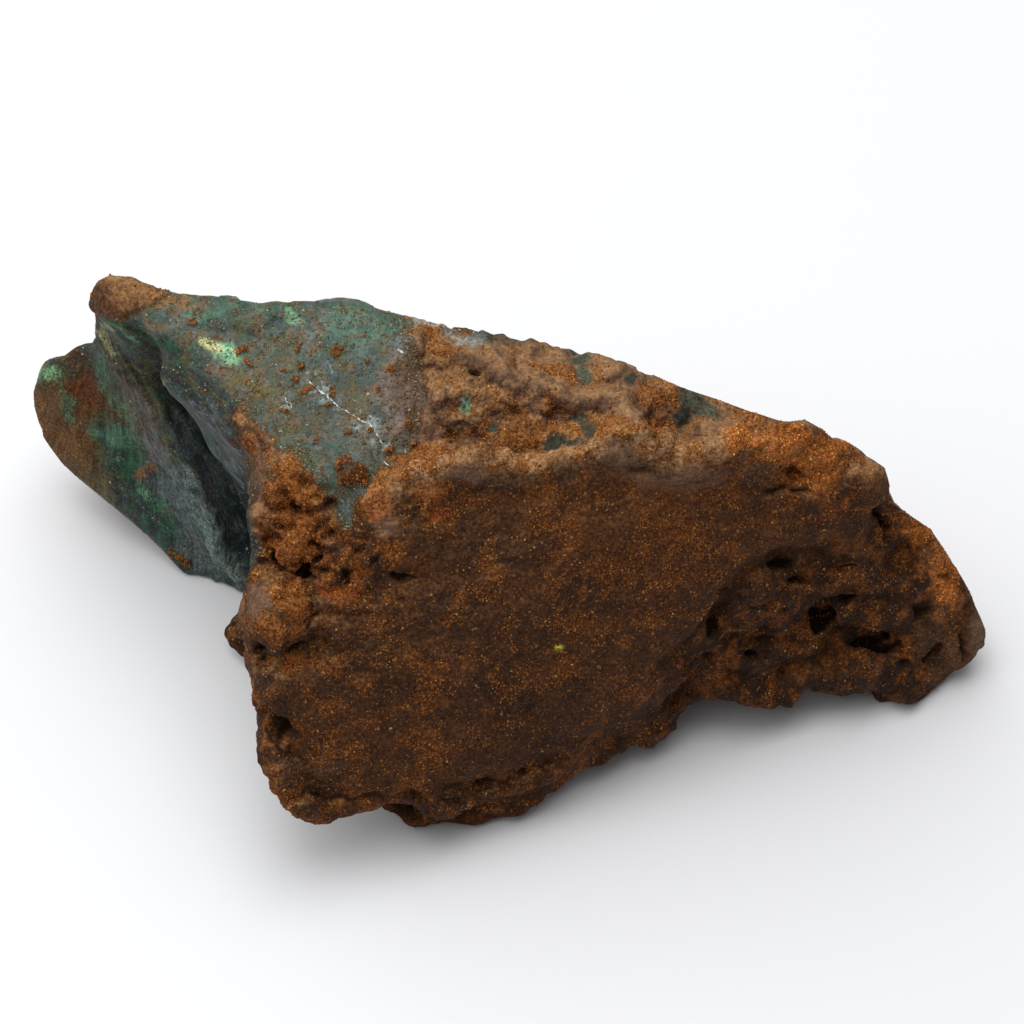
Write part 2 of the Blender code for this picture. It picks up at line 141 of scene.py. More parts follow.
def rows_of(mesh):
    """The mesh's points in mm, and the way the surface faces at each."""
    return triples(mesh.vertices, "co") / MM, triples(mesh.vertex_normals, "vector")


points, facing = rows_of(skin.data)
right, up = place_on_sheet(points)
toward_eye = facing @ SIGHT
print("it reaches from", points.min(axis=0).round(1), "to", points.max(axis=0).round(1), "mm")

# %% [markdown]
# ## Rough fields
# Nature is uneven at every size, and procedural noise is how a script says so. Three kinds do all
# the work here: soft noise for stains and swells, billows for lumps with sharp creases between
# them, and fanned noise for folds that spread from the stone's beak like those of a curtain.


# %% Three kinds of noise
def soft(size, seed, spots=None, depth=2):
    """Soft swells about size mm wide, from about -1 to 1."""
    spots = points if spots is None else spots
    moved = spots / size + np.array((17.3, 5.1, 9.7)) * seed
    return np.array([noise.fractal(spot, 1.0, 2.0, depth) for spot in moved.tolist()])


def billow(size, seed, spots=None, depth=1):
    """Rounded lumps about size mm wide, from 0 in the narrow creases to about 1 on their tops."""
    return 1 - np.exp(-6 * np.abs(soft(size, seed, spots, depth)))


def step(value, low, high):
    """0 below low, 1 above high, and an eased slope between."""
    share = np.clip((value - low) / (high - low), 0, 1)
    return share * share * (3 - 2 * share)


BEAK = (-25.9, 12.2)
FOLD_CURL = 0.0136  # radians that a fold bends for each mm away from the beak
reach = np.hypot(right - BEAK[0], up - BEAK[1])
fan = np.arctan2(up - BEAK[1], right - BEAK[0]) + FOLD_CURL * reach
waver = 0.035 * soft(3.0, 41)


def fanned(folds, seed, depth=2):
    """Noise stretched into folds that run out from the beak: more folds, finer ones."""
    spread = np.column_stack(((fan + waver) * folds, reach * 0.13, points[:, 1] * 0.02))
    return soft(1.0, seed, spread, depth)


print("noise is ready for", len(points), "points")

# %% [markdown]
# ## Regions
# The stone has a few clearly different skins: the green end, the broad smooth face, the fluted
# side under the beak and the cavernous wall under the tail. Each is drawn as an outline on the
# sheet. The places are shaken with noise first, because no boundary in a stone is clean.

# %% Outlines on the sheet
front = step(toward_eye, -0.25, 0.05)
shaken_right = right + 0.5 * soft(1.7, 1) + 0.2 * soft(0.6, 2)
shaken_up = up + 0.5 * soft(1.7, 3) + 0.2 * soft(0.6, 4)


def line_gap(x0, y0, x1, y1):
    """How far each point lies from one straight line on the sheet, in mm."""
    run_x, run_y = x1 - x0, y1 - y0
    share = ((shaken_right - x0) * run_x + (shaken_up - y0) * run_y) / (run_x**2 + run_y**2)
    share = np.clip(share, 0, 1)
    return np.hypot(shaken_right - x0 - share * run_x, shaken_up - y0 - share * run_y)


def path_gap(path):
    """How far each point lies from a path of straight lines on the sheet, in mm."""
    return np.min([line_gap(*start, *end) for start, end in zip(path, path[1:])], axis=0)


def enclosed(x, y, outline):
    """Which places lie within an outline: those with an odd number of its sides to their right."""
    within = np.zeros(len(x), dtype=bool)
    for (x0, y0), (x1, y1) in zip(outline, outline[1:] + outline[:1]):
        if y0 != y1:
            within ^= ((y0 > y) != (y1 > y)) & (x < x0 + (y - y0) * (x1 - x0) / (y1 - y0))
    return within


def inside(outline, blur):
    """1 inside an outline on the sheet, 0 outside, with a soft edge blur mm wide."""
    gap = path_gap(outline + outline[:1])
    within = enclosed(shaken_right, shaken_up, outline)
    return step(np.where(within, gap, -gap), -blur / 2, blur / 2)


print("outlines are shaken by up to", np.abs(shaken_right - right).max().round(2), "mm")


# %% Spots and streaks on the sheet
def oval(x, y, wide, tall, turn=0.0):
    """0 in the middle of an oval on the sheet, 1 on its rim, more outside it."""
    cos, sin = math.cos(math.radians(turn)), math.sin(math.radians(turn))
    along = (shaken_right - x) * cos + (shaken_up - y) * sin
    across = (shaken_up - y) * cos - (shaken_right - x) * sin
    return np.hypot(along / wide, across / tall)


def spot(x, y, wide, tall, turn=0.0, edge=0.55):
    """1 in the middle of an oval spot, fading to 0 at its rim."""
    return step(1.0 - oval(x, y, wide, tall, turn), 0.0, edge) * front


def together(ovals):
    """All the spots of a table of ovals, at most 1 where they meet."""
    return np.clip(sum(spot(*item) for item in ovals), 0, 1)


def streak(path, width):
    """1 along a path on the sheet, fading to 0 at width mm from it."""
    return step(1.0 - path_gap(path) / width, 0.0, 0.7) * front


print(round(100 * front.mean()), "% of the skin faces the sheet")

# %% The stone's regions
GREEN_END = [
    (-6.7, 16.0), (-6.7, 12.1), (-6.1, 10.2), (-5.6, 8.6), (-5.6, 7.0), (-5.9, 5.2), (-6.8, 3.6),
    (-8.2, 2.6), (-9.2, 1.5), (-9.8, 0.8), (-10.0, -0.6), (-10.5, -1.2), (-11.0, -0.4),
    (-11.4, 0.8), (-12.2, 1.6), (-12.8, 2.6), (-13.4, 3.6), (-14.3, 4.2), (-15.7, 5.2),
    (-17.0, 6.6), (-17.7, 5.8), (-17.6, 4.5), (-16.9, 4.0), (-16.4, 2.8), (-16.2, 0.9),
    (-15.8, -2.4), (-16.5, -5.0), (-17.2, -6.0), (-20.0, -9.0), (-38.0, -2.0), (-38.0, 18.0),
]
BEAK_KNOB = [
    (-28.5, 16.0), (-27.2, 13.3), (-26.3, 12.2), (-24.4, 12.3), (-23.2, 12.9), (-21.6, 13.6),
    (-21.6, 16.0),
]
FLUTED_SIDE = [
    (-26.3, 12.3), (-24.2, 12.4), (-22.3, 11.4), (-20.9, 10.3), (-19.6, 9.2), (-18.2, 8.1),
    (-17.1, 6.8), (-16.4, 3.6), (-15.8, -2.4), (-16.6, -6.0), (-22.0, -9.0), (-38.0, -2.0),
    (-38.0, 12.2),
]
BROAD_FACE = [
    (-12.2, -4.6), (-10.4, -3.4), (-8.4, -1.2), (-4.4, 1.2), (1.8, 1.6), (6.4, 3.0), (12.0, 2.2),
    (15.6, 2.2), (21.0, -0.8), (17.6, -2.8), (13.6, -4.8), (11.8, -8.4), (7.6, -12.8),
    (2.6, -15.4), (-3.6, -16.9), (-9.6, -17.8), (-12.6, -16.4), (-14.2, -13.4), (-15.4, -12.4),
    (-15.2, -9.6), (-12.4, -8.4), (-11.6, -6.4),
]
CAVERNOUS_WALL = [
    (21.0, -1.2), (24.0, -0.4), (28.0, -3.0), (31.5, -8.0), (29.0, -12.0), (23.0, -13.5),
    (17.0, -12.0), (9.0, -14.0), (6.0, -15.6), (10.2, -11.0), (12.6, -7.8), (14.2, -4.8),
    (17.6, -3.0),
]
green_end = inside(GREEN_END, 0.4)
fluted = inside(FLUTED_SIDE, 1.2)
broad = inside(BROAD_FACE, 2.6) * front
wall = inside(CAVERNOUS_WALL, 1.4) * front
beak_knob = inside(BEAK_KNOB, 0.7)

# On the far side the green shows in wide patches of its own.
hidden_green = step(soft(9.0, 5) + 0.25 * soft(2.2, 6) - 0.02 * points[:, 0], 0.05, 0.2)
hidden_green *= step(points[:, 2], 3.0, 7.0)
green = front * green_end * (1 - beak_knob) + (1 - front) * hidden_green
folded = green * fluted
print(round(100 * green.mean()), "% of the skin is bare green stone")

# %% [markdown]
# ## Lumps, pits and folds
# Some lumps and pits are large enough to recognise the stone by, so they are listed one by one,
# like dabs of clay and presses of a thumb. Each row is a place on the sheet, a half width, a half
# height and a rise in millimetres, and sometimes a turn in degrees. Pits have a negative rise.

# %% Dabs on the pillar
PILLAR_DABS = [
    (-14.8, 2.5, 1.3, 1.3, 0.35), (-15.7, 0.2, 1.0, 2.6, 0.5), (-13.6, -2.4, 1.0, 0.8, 0.7),
    (-14.9, -6.2, 2.1, 2.7, 0.85), (-13.6, -10.6, 2.4, 1.0, 0.35), (-12.0, -0.4, 0.8, 0.5, 0.4),
    (-11.4, -2.2, 0.9, 0.6, 0.35), (-7.3, -0.9, 3.0, 2.7, 0.75), (-11.0, -5.6, 1.5, 0.9, 0.45),
    (-10.3, -3.0, 1.2, 0.9, 0.4), (-14.6, -3.1, 0.45, 0.65, -1.6), (-13.2, -3.9, 0.4, 0.5, -1.0),
    (-12.3, -2.9, 0.35, 0.3, -0.8), (-10.3, -4.0, 0.28, 0.25, -0.7),
    (-12.4, -1.7, 0.25, 0.8, -0.5),
    (-13.6, -0.9, 0.5, 0.35, -0.4), (-11.5, -1.2, 0.4, 0.25, -0.5), (-6.9, -4.1, 0.8, 0.14, -0.7),
    (-15.6, -8.4, 0.5, 0.4, -0.9), (-13.7, -8.8, 0.7, 0.2, -0.6), (-12.7, -8.0, 0.6, 0.2, -0.4),
    (-15.8, -9.5, 0.25, 0.7, -0.7), (-11.6, 0.4, 0.6, 0.5, -0.4), (-13.1, -3.2, 0.3, 0.8, -0.8),
    (-6.9, -5.6, 0.5, 0.4, -0.3), (-8.5, -2.6, 0.8, 0.3, -0.25, 40), (-12.8, -5.0, 0.4, 0.3, 0.25),
    (-9.4, -4.6, 0.6, 0.4, 0.25), (-12.2, -3.9, 0.5, 0.5, 0.3), (-11.2, -3.9, 0.5, 0.4, 0.25),
    (-14.2, -0.6, 0.6, 0.6, 0.25), (-12.8, 0.8, 0.8, 0.6, 0.3), (-8.6, -6.0, 0.8, 0.4, 0.2),
]
print(len(PILLAR_DABS), "dabs on the pillar")

# %% Dabs on the top
TOP_DABS = [
    (-6.1, 10.8, 0.8, 0.7, 0.4), (-4.6, 7.4, 0.7, 0.7, 0.5), (-5.0, 9.4, 1.2, 0.5, 0.3),
    (-3.9, 10.1, 2.2, 0.5, 0.3), (0.6, 8.2, 1.6, 0.7, 0.45, -12), (3.1, 7.2, 1.6, 0.7, 0.4, -25),
    (5.6, 7.2, 1.9, 0.8, 0.5, -10), (6.1, 8.6, 1.0, 0.6, 0.3), (-2.2, 8.7, 0.5, 0.35, -0.8),
    (-2.9, 2.9, 2.0, 1.3, 0.45), (6.6, 4.2, 2.2, 1.5, 0.5), (14.0, 4.2, 1.9, 1.3, 0.45),
    (1.6, 2.6, 1.8, 1.0, 0.25), (10.6, 3.0, 1.6, 1.0, 0.25), (-2.8, 4.5, 2.4, 0.6, -0.4),
    (1.6, 4.4, 2.6, 0.6, -0.5), (-3.4, 5.2, 0.9, 0.5, -0.3), (-0.2, 6.4, 1.0, 0.4, -0.4, -30),
    (10.4, 5.0, 2.4, 0.7, -0.4), (4.4, 9.7, 1.3, 0.4, 0.2), (17.9, 2.3, 0.9, 0.7, -0.8),
    (16.4, 1.4, 0.9, 0.4, -0.5), (18.2, 1.0, 1.1, 0.3, -0.5), (18.4, 5.3, 0.9, 0.7, 0.4),
    (22.4, 1.7, 1.6, 1.5, 0.5), (23.0, 0.0, 0.5, 0.45, -1.2), (8.0, 2.6, 0.9, 0.4, -0.4),
    (19.8, 3.6, 1.3, 0.9, 0.3), (17.0, 5.6, 1.0, 0.5, 0.3), (12.5, 7.1, 1.5, 0.5, -0.35, -25),
    (8.8, 8.6, 1.6, 0.5, -0.2, -20), (-16.8, 12.4, 3.0, 1.0, 0.45),
    (-3.2, 11.8, 2.6, 0.7, -0.45, -8),
]
print(len(TOP_DABS), "dabs on the top")

# %% Dabs on the wall and the foot
WALL_DABS = [
    (19.4, -6.7, 1.0, 0.9, -1.3), (17.2, -6.3, 0.7, 0.35, -0.4), (12.9, -7.4, 0.6, 0.8, -1.1),
    (12.4, -9.0, 0.4, 0.45, -0.5), (15.1, -8.9, 0.8, 0.28, -0.6, -20),
    (17.2, -9.9, 0.5, 0.4, -0.4), (17.0, -3.2, 0.9, 0.3, -0.8), (18.0, -4.1, 1.0, 0.5, -0.9),
    (21.1, -5.6, 1.0, 0.22, -0.8, -12),
    (22.9, -8.4, 2.0, 0.42, -1.5, -6), (20.2, -8.9, 1.1, 0.7, -0.4), (24.8, -9.6, 0.6, 0.5, -0.5),
    (26.6, -8.9, 0.35, 0.7, -0.6, -30), (28.3, -8.2, 0.25, 1.1, -0.7),
    (25.7, -6.1, 0.7, 0.25, -0.5),
    (25.0, -3.2, 0.6, 0.6, -0.6), (26.3, -2.1, 0.25, 0.8, -0.3), (27.2, -4.2, 0.5, 0.5, -0.4),
    (23.5, -1.2, 0.25, 1.2, -0.7), (21.3, -2.6, 1.5, 0.6, 0.3), (20.6, -3.3, 1.4, 0.2, -0.4),
    (22.6, -10.3, 2.2, 0.9, 0.4), (18.6, -10.2, 1.6, 0.8, 0.3), (15.0, -7.2, 1.5, 0.7, 0.35),
    (15.6, -5.2, 1.2, 0.6, 0.25), (19.6, -4.8, 1.6, 0.5, 0.3), (23.6, -6.4, 1.8, 0.8, 0.3),
    (24.6, -11.2, 1.9, 0.7, 0.4), (26.2, -0.6, 1.2, 1.0, 0.35),
    (14.0, -10.4, 1.4, 0.4, -0.3, 25), (11.4, -11.4, 0.8, 0.4, -0.4, 40),
    (10.9, -9.6, 0.4, 0.8, -0.4), (15.3, -9.0, 0.25, 0.7, -0.5, 60), (21.2, -2.2, 1.2, 0.5, -0.12),
]
FOOT_DABS = [
    (-6.4, -18.6, 1.5, 1.1, -1.8), (-6.1, -19.1, 0.7, 0.6, 1.0), (-3.3, -18.7, 0.6, 0.3, -0.8),
    (-13.0, -18.5, 1.1, 0.6, 0.4), (-14.6, -14.0, 0.8, 1.2, -0.7, 20),
    (-1.2, -16.9, 1.4, 0.3, -0.5),
    (0.6, -16.4, 0.5, 0.4, -0.5), (-14.8, -16.4, 1.0, 1.1, 0.4), (-15.6, -11.6, 0.8, 0.9, 0.35),
    (3.6, -15.0, 1.6, 0.5, 0.35, 30), (-3.0, -18.0, 1.8, 0.5, 0.35),
]
DABS = PILLAR_DABS + TOP_DABS + WALL_DABS + FOOT_DABS
print(len(WALL_DABS), "dabs on the wall and", len(FOOT_DABS), "on the foot:", len(DABS), "in all")

# %% [markdown]
# Cracks, ledges and crests are long and narrow, so they are paths instead of dabs: corners on the
# sheet, a half width and a rise. The rim, which is the pale crest between the top and the broad
# face, is one of them, and its path is used again to lay its pale paint, partly dust and partly
# painted highlight.

# %% Slits and ridges
RIM = [
    (-9.2, 0.9), (-7.0, 2.4), (-4.7, 3.1), (-2.3, 3.6), (1.3, 3.1), (4.3, 3.8), (6.5, 4.9),
    (8.4, 4.7), (10.8, 3.7), (14.0, 4.4), (17.5, 3.8), (20.4, 3.6), (22.6, 2.4),
]
LONG_RIDGE = [(-2.8, 10.1), (0.1, 8.5), (1.7, 8.0), (2.9, 7.5), (6.0, 7.1), (7.9, 6.0)]
BACK_RIDGE = [(1.3, 10.1), (3.6, 9.6), (5.1, 9.6), (6.5, 8.9), (7.9, 8.2)]
SLITS_AND_RIDGES = [
    ([(-16.4, -8.9), (-13.2, -8.8), (-12.0, -8.2)], 0.3, -0.35),
    ([(-15.9, -12.7), (-14.4, -13.4), (-13.1, -16.7), (-12.2, -17.9), (-9.8, -18.3),
      (-7.4, -17.7), (-5.6, -17.9)], 0.45, -0.4),
    ([(-4.9, -18.7), (0.4, -16.9), (2.2, -15.8), (6.8, -13.6)], 0.4, -0.25),
    ([(10.2, -11.8), (12.0, -8.8), (13.0, -6.0), (15.0, -4.2), (16.8, -3.2)], 0.6, -0.4),
    ([(14.4, -6.0), (17.2, -5.6), (20.2, -5.2), (23.6, -5.2), (26.0, -6.0)], 0.35, -0.2),
    ([(15.0, -8.0), (17.4, -8.2), (21.0, -8.2), (25.0, -8.8), (27.6, -9.6)], 0.4, -0.25),
    ([(22.9, 0.3), (23.6, -0.6), (23.5, -2.0)], 0.35, -0.6),
    (RIM[:-2], 0.9, 0.42),
    (LONG_RIDGE, 1.0, 0.3),
    (BACK_RIDGE, 0.8, 0.3),
]
print(len(SLITS_AND_RIDGES), "slits and ridges")

# %% [markdown]
# A dab lies on the sheet, but it must not leak onto stone far behind. So a ray from the eye finds
# where the dab lands, and only skin near that spot may move. Lumps get round tops and tight rims,
# and pits get steep walls and flat floors, with soot-dark shade kept for later.

# %% Find where a place on the sheet lands
tree = BVHTree.FromObject(skin, bpy.context.evaluated_depsgraph_get())


def landing(x, y, stone=tree):
    """Where a place on the sheet lands on the stone, in mm, and which way the stone faces."""
    aim = FACE_MIDDLE + FACE_RIGHT * x + FACE_UP * y
    hit, normal, _, _ = stone.ray_cast(Vector(EYE) * MM, Vector(aim - EYE).normalized())
    if hit is None:
        hit, normal, _, _ = stone.find_nearest(Vector(aim) * MM)
    return np.array(hit) / MM, np.array(normal)


def near(middle, radius):
    """Which points lie within radius mm of a spot on the stone."""
    return np.linalg.norm(points - middle, axis=1) < radius


print("the middle of the sheet lands at", landing(0, 0)[0].round(1), "mm")

# %% [markdown]
# Crumbs of crust sit alone on the green face. They could be pieces of their own, but they have
# grown on to the stone, so they are raised from the same skin and leave no gap beneath them. Each
# is a place on the sheet and a radius, and a fine noise breaks its round edge.

# %% Crumbs of crust on the green face
GREEN_CRUMBS = [
    (-13.4, 10.3, 0.4), (-10.9, 9.9, 0.6), (-12.8, 7.9, 0.45), (-11.4, 7.8, 0.45),
    (-11.7, 6.8, 0.4), (-6.4, 4.2, 0.5), (-7.7, 3.6, 0.6), (-10.3, 2.9, 0.9), (-20.2, 11.8, 0.45),
    (-16.9, 10.2, 0.5), (-18.2, 7.0, 0.4), (-17.2, 3.9, 0.3), (-5.0, 7.4, 0.5), (-13.2, 9.2, 0.25),
    (-21.0, -2.9, 0.9), (-9.3, 9.6, 0.3), (-7.4, 8.9, 0.5), (-14.6, 8.8, 0.3), (-19.3, 9.0, 0.3),
    (-13.6, 8.4, 0.3), (-8.9, 5.2, 0.35), (-6.6, 5.6, 0.35), (-8.2, 7.6, 0.3), (-10.2, 5.0, 0.3),
    (-12.6, 4.6, 0.3), (-16.4, 9.3, 0.3), (-11.0, 10.6, 0.25), (-14.2, 6.2, 0.3),
    (-9.4, 2.3, 0.95), (-10.2, 2.1, 0.7),
]
broken = 0.45 * soft(0.35, 27)
crumb_mask = np.zeros(len(points))
for x, y, radius in GREEN_CRUMBS:
    crumb = step(spot(x, y, radius, radius, edge=1.0) + broken, 0.3, 0.5)
    crumb_mask = np.maximum(crumb_mask, crumb)
crumb_mask *= step(green_end, 0.2, 0.8) * np.maximum(1 - fluted, spot(-21.0, -2.9, 1.4, 1.4))
print(len(GREEN_CRUMBS), "crumbs sit on the green")

# %% Press the dabs and paths into the skin
relief = np.zeros(len(points))
pit_depth = np.zeros(len(points))


def press(gap, rise):
    """Raises a lump or sinks a pit; the gap is 0 in its middle and 1 on its rim."""
    if rise > 0:
        relief[:] += rise * np.clip(1 - gap**2, 0, 1) ** 0.8
    else:
        share = step(1 - gap, 0.0, 0.6)
        relief[:] += rise * share
        pit_depth[:] = np.maximum(pit_depth, -rise * share)


FAR = 2.0  # any gap above 1 is untouched
for x, y, wide, tall, rise, *turn in DABS:
    middle, _ = landing(x, y)
    touched = near(middle, 2.0 * max(wide, tall)) & (toward_eye > -0.1)
    press(np.where(touched, oval(x, y, wide, tall, *turn), FAR), rise)

for path, half_width, rise in SLITS_AND_RIDGES:
    share = step(1 - path_gap(path) / half_width, 0.0, 1.0) * step(toward_eye, -0.1, 0.2)
    relief += rise * share
    pit_depth = np.maximum(pit_depth, -0.8 * rise * share)

print("deepest", relief.min().round(2), "mm, highest", relief.max().round(2), "mm")

# %% [markdown]
# The sheet says nothing about the sides turned away from it. There the same kinds of lumps and
# pits are scattered by a dice with a fixed seed, so the stone looks the same every time. The
# crumbly pillar beside the green end and the rough top get smaller ones in the same way.

# %% Scatter lumps and pits
dice = np.random.default_rng(7)
hidden = np.flatnonzero((toward_eye < -0.4) & (green < 0.5) & (points[:, 2] > 1.5))
uneven = np.clip(1 + 0.5 * soft(1.2, 42), 0.6, 1.4)
crumbly = np.clip(spot(-13.6, -2.6, 3.4, 8.4, 0, 0.8) + 0.6 * spot(-9.6, -2.4, 3.2, 2.8), 0, 1)
crusty_top = front * (1 - green) * (1 - broad) * (1 - wall) * (up > 1.5)


def scatter(seats, count, smallest, largest, rise):
    """Small lumps or pits, as high or deep as the rise times their own size."""
    for seat in dice.choice(seats, count, replace=False):
        size = dice.uniform(smallest, largest)
        press(np.linalg.norm(points - points[seat], axis=1) * uneven / size, rise * size)


pillar_seats = np.flatnonzero(crumbly * (1 - green) > 0.4)
top_seats = np.flatnonzero(crusty_top > 0.7)
scatter(hidden, 90, 1.0, 2.4, 0.20)
scatter(hidden, 70, 0.4, 1.1, -0.7)
scatter(pillar_seats, 170, 0.25, 0.65, 0.45)
scatter(pillar_seats, 70, 0.2, 0.45, -1.0)
scatter(top_seats, 110, 0.3, 0.8, 0.28)
scatter(top_seats, 26, 0.2, 0.4, -0.6)
print(len(hidden), "points on the hidden sides,", len(pillar_seats), "on the pillar")

# %% [markdown]
# ## Relief that noise can make
# The rest needs no hand. The crust is sand cemented in lumps of several sizes, so billows of
# shrinking size make it. The broad face is the same sand worn flat. The green mineral grew in
# fibres, which show as folds under the beak and as faint chips on its upper face.

# %% How high each kind of relief stands
BILLOW_LEVEL = 0.7  # what billows come to on the whole
LUMP_RISE = 0.24  # this and all below in mm
SWELL_RISE = 0.20
SMALL_LUMP_RISE = 0.08
GRAVEL_RISE = 0.05
PILLAR_LUMP_RISE = 0.22  # added where the pillar crumbles
PILLAR_GRAVEL_RISE = 0.19
CRUMB_RISE = 0.25
LARGE_CRUMB_RISE = 0.84
SAND_RISE = 0.03
WORN_SWELL_RISE = 0.22
WORN_LUMP_RISE = 0.08
SHELF_RISE = 0.10
FOLD_RISE = 0.26
RIB_DEPTH = 0.08
CHIP_RISE = 0.09
ROUGH_CHIP_RISE = 0.04
GREEN_SWELL_RISE = 0.10
CRUST_THICKNESS = 0.06
print("from", SAND_RISE, "mm for the finest sand to", LARGE_CRUMB_RISE, "mm for the largest crumb")

# %% Raise the crust, the folds and the chips
lumps = billow(2.8, 11)
small_lumps = billow(1.1, 12)
gravel = billow(0.65, 13)
crumbs = soft(0.5, 14)
shelves = soft(1.0, 19, np.column_stack((right / 2.6, up / 0.7, points[:, 1] / 2.6)))
folds = fanned(11.0, 16)
ribs = fanned(27.0, 17, 3)
chips = billow(0.9, 18)
rough = (1 - green) * (1 - 0.8 * broad) * (1 - 0.6 * beak_knob)
rough *= 1 - 0.7 * spot(-5.0, 7.6, 1.7, 4.4, edge=0.8)

# The rough crust, most of all where the pillar crumbles
relief += rough * LUMP_RISE * (lumps - BILLOW_LEVEL) + rough * SWELL_RISE * soft(1.6, 26)
relief += rough * (SMALL_LUMP_RISE + PILLAR_LUMP_RISE * crumbly) * (small_lumps - BILLOW_LEVEL)
relief += rough * (GRAVEL_RISE + PILLAR_GRAVEL_RISE * crumbly) * (gravel - BILLOW_LEVEL)

# The crumbs on the green, and the large one near the pillar
large_crumb = spot(-9.9, 2.6, 1.1, 0.95, 0, 0.9)
relief += crumb_mask * (CRUMB_RISE * gravel + LARGE_CRUMB_RISE * large_crumb)

# The worn broad face, and the shelves of the wall
relief += (1 - green) * SAND_RISE * crumbs
worn = WORN_SWELL_RISE * soft(2.6, 15) + WORN_LUMP_RISE * (gravel - BILLOW_LEVEL)
relief += broad * (worn + WORN_LUMP_RISE * (small_lumps - BILLOW_LEVEL))
relief += wall * SHELF_RISE * shelves

# The green stone: folds under the beak, chips on its upper face
relief += folded * (FOLD_RISE * folds - RIB_DEPTH * np.abs(ribs)) * step(toward_eye, 0.1, 0.5)
chipped = CHIP_RISE * (chips - BILLOW_LEVEL) + ROUGH_CHIP_RISE * crumbs
relief += green * (1 - fluted) * (chipped + GREEN_SWELL_RISE * soft(3.0, 20))

# The crust lies on the stone, so it is a little higher
relief += CRUST_THICKNESS * (1 - green)
print("relief from", relief.min().round(2), "to", relief.max().round(2), "mm")

# %% [markdown]
# Under the beak the stone falls away into one deep fold. Its near edge is a sharp crest and its
# far edge is the rim of the green face. Sinking the skin straight away from the eye deepens the
# fold without changing the outline of the stone. Lumps that would stand out beyond the stone's
# known edge, at the back and along the fin, are drawn in again.

# %% The deep fold, its crest and the stone's known edges
DEEP_FOLD = [(-23.6, 10.9), (-21.4, 8.8), (-19.8, 6.6), (-18.6, 4.2), (-17.6, 1.4), (-16.8, -2.0)]
CREST = [
    (-25.8, 11.6), (-24.5, 9.9), (-22.8, 8.0), (-21.6, 5.5), (-20.6, 3.0), (-19.6, 0.8),
    (-18.9, -1.1), (-17.9, -3.3), (-17.1, -4.9),
]
BACK_EDGE = (
    [(5.5, 9.9), (7.9, 9.2), (8.7, 8.7), (10.4, 7.9), (13.1, 7.0), (17.2, 5.5), (18.4, 5.7),
     (21.4, 4.2), (23.4, 2.8), (23.8, 1.5), (23.7, 0.7), (24.7, -0.1), (26.3, -1.1), (26.9, -2.1),
     (28.2, -4.0), (28.9, -5.4), (29.7, -7.4), (29.8, -8.6), (29.3, -9.6), (28.2, -10.3)],
    [(34.0, -10.3), (34.0, 13.0), (5.5, 13.0)],
)
FIN_EDGE = (
    [(-30.4, 6.0), (-28.3, 3.1), (-25.9, 1.1), (-22.8, -1.4), (-20.6, -3.8), (-18.6, -4.9)],
    [(-18.6, -9.0), (-36.0, -9.0), (-36.0, 6.0)],
)
print(len(BACK_EDGE[0]), "corners on the back edge and", len(FIN_EDGE[0]), "on the fin's")

# %% Sink the deep fold and move the skin
FOLD_HALF_WIDTH = 2.1
FOLD_SINK = 0.5
CREST_RISE = 0.3
DRAW_IN = 0.9  # share of the way back to the edge
fold_share = step(1 - path_gap(DEEP_FOLD) / FOLD_HALF_WIDTH, 0.0, 1.0) * fluted * front
sink = FOLD_SINK * fold_share * step(reach, 2.0, 8.0)
relief += CREST_RISE * streak(CREST, 0.6) * fluted * step(reach, 1.5, 5.0)


def moved_skin():
    """The points moved along the way they face; near the ground they stay where they rest."""
    free = step(points[:, 2], 0.05, 0.9)[:, None]
    moved = points + (facing * relief[:, None] - SIGHT * sink[:, None]) * free
    for edge in (BACK_EDGE, FIN_EDGE):
        trim(moved, *edge)
    moved[:, 2] = np.maximum(moved[:, 2], 0.0)
    return moved


def trim(moved, edge, far_corners):
    """Draws points that stand out beyond an edge on the sheet back onto it."""
    x, y = place_on_sheet(moved)
    outside = enclosed(x, y, edge + far_corners)
    spots = np.column_stack((x, y))[outside]
    best = np.full(len(spots), np.inf)
    shift = np.zeros_like(spots)
    for start, end in zip(edge, edge[1:]):
        run = np.subtract(end, start)
        share = np.clip((spots - start) @ run / (run @ run), 0, 1)
        back = start + share[:, None] * run - spots
        closer = np.hypot(*back.T) < best
        best[closer] = np.hypot(*back[closer].T)
        shift[closer] = back[closer]
    moved[outside] += DRAW_IN * (shift[:, :1] * FACE_RIGHT + shift[:, 1:] * FACE_UP)


skin.data.vertices.foreach_set("co", (moved_skin() * MM).ravel())
ease_skin(1)
raised, raised_facing = rows_of(skin.data)
print("skin now reaches", raised.min(axis=0).round(2), "to", raised.max(axis=0).round(2), "mm")

# %% [markdown]
# ## Stains and painted light
# Stone colour comes in layers: the mineral, the crust on it, the film of rust between them and the
# dust on top, with painted highlights, sheen and shade laid in among them. Each layer is laid over
# the last by a mask, as washes of paint are. The result is kept as a colour at every point of the
# net; grains finer than the net come later, in the shader.


# %% Paints, and how one is laid over another
def paint(red, green_part, blue):
    """A colour as it is picked on a screen, turned into the amounts of light a shader adds up."""
    share = np.array((red, green_part, blue)) / 255
    return np.where(share <= 0.04045, share / 12.92, ((share + 0.055) / 1.055) ** 2.4)


def lay(over, mask):
    """Lays a paint over the stone wherever the mask is strong."""
    stain_and_painted_light[:] += (over - stain_and_painted_light) * np.clip(mask, 0, 1)[:, None]


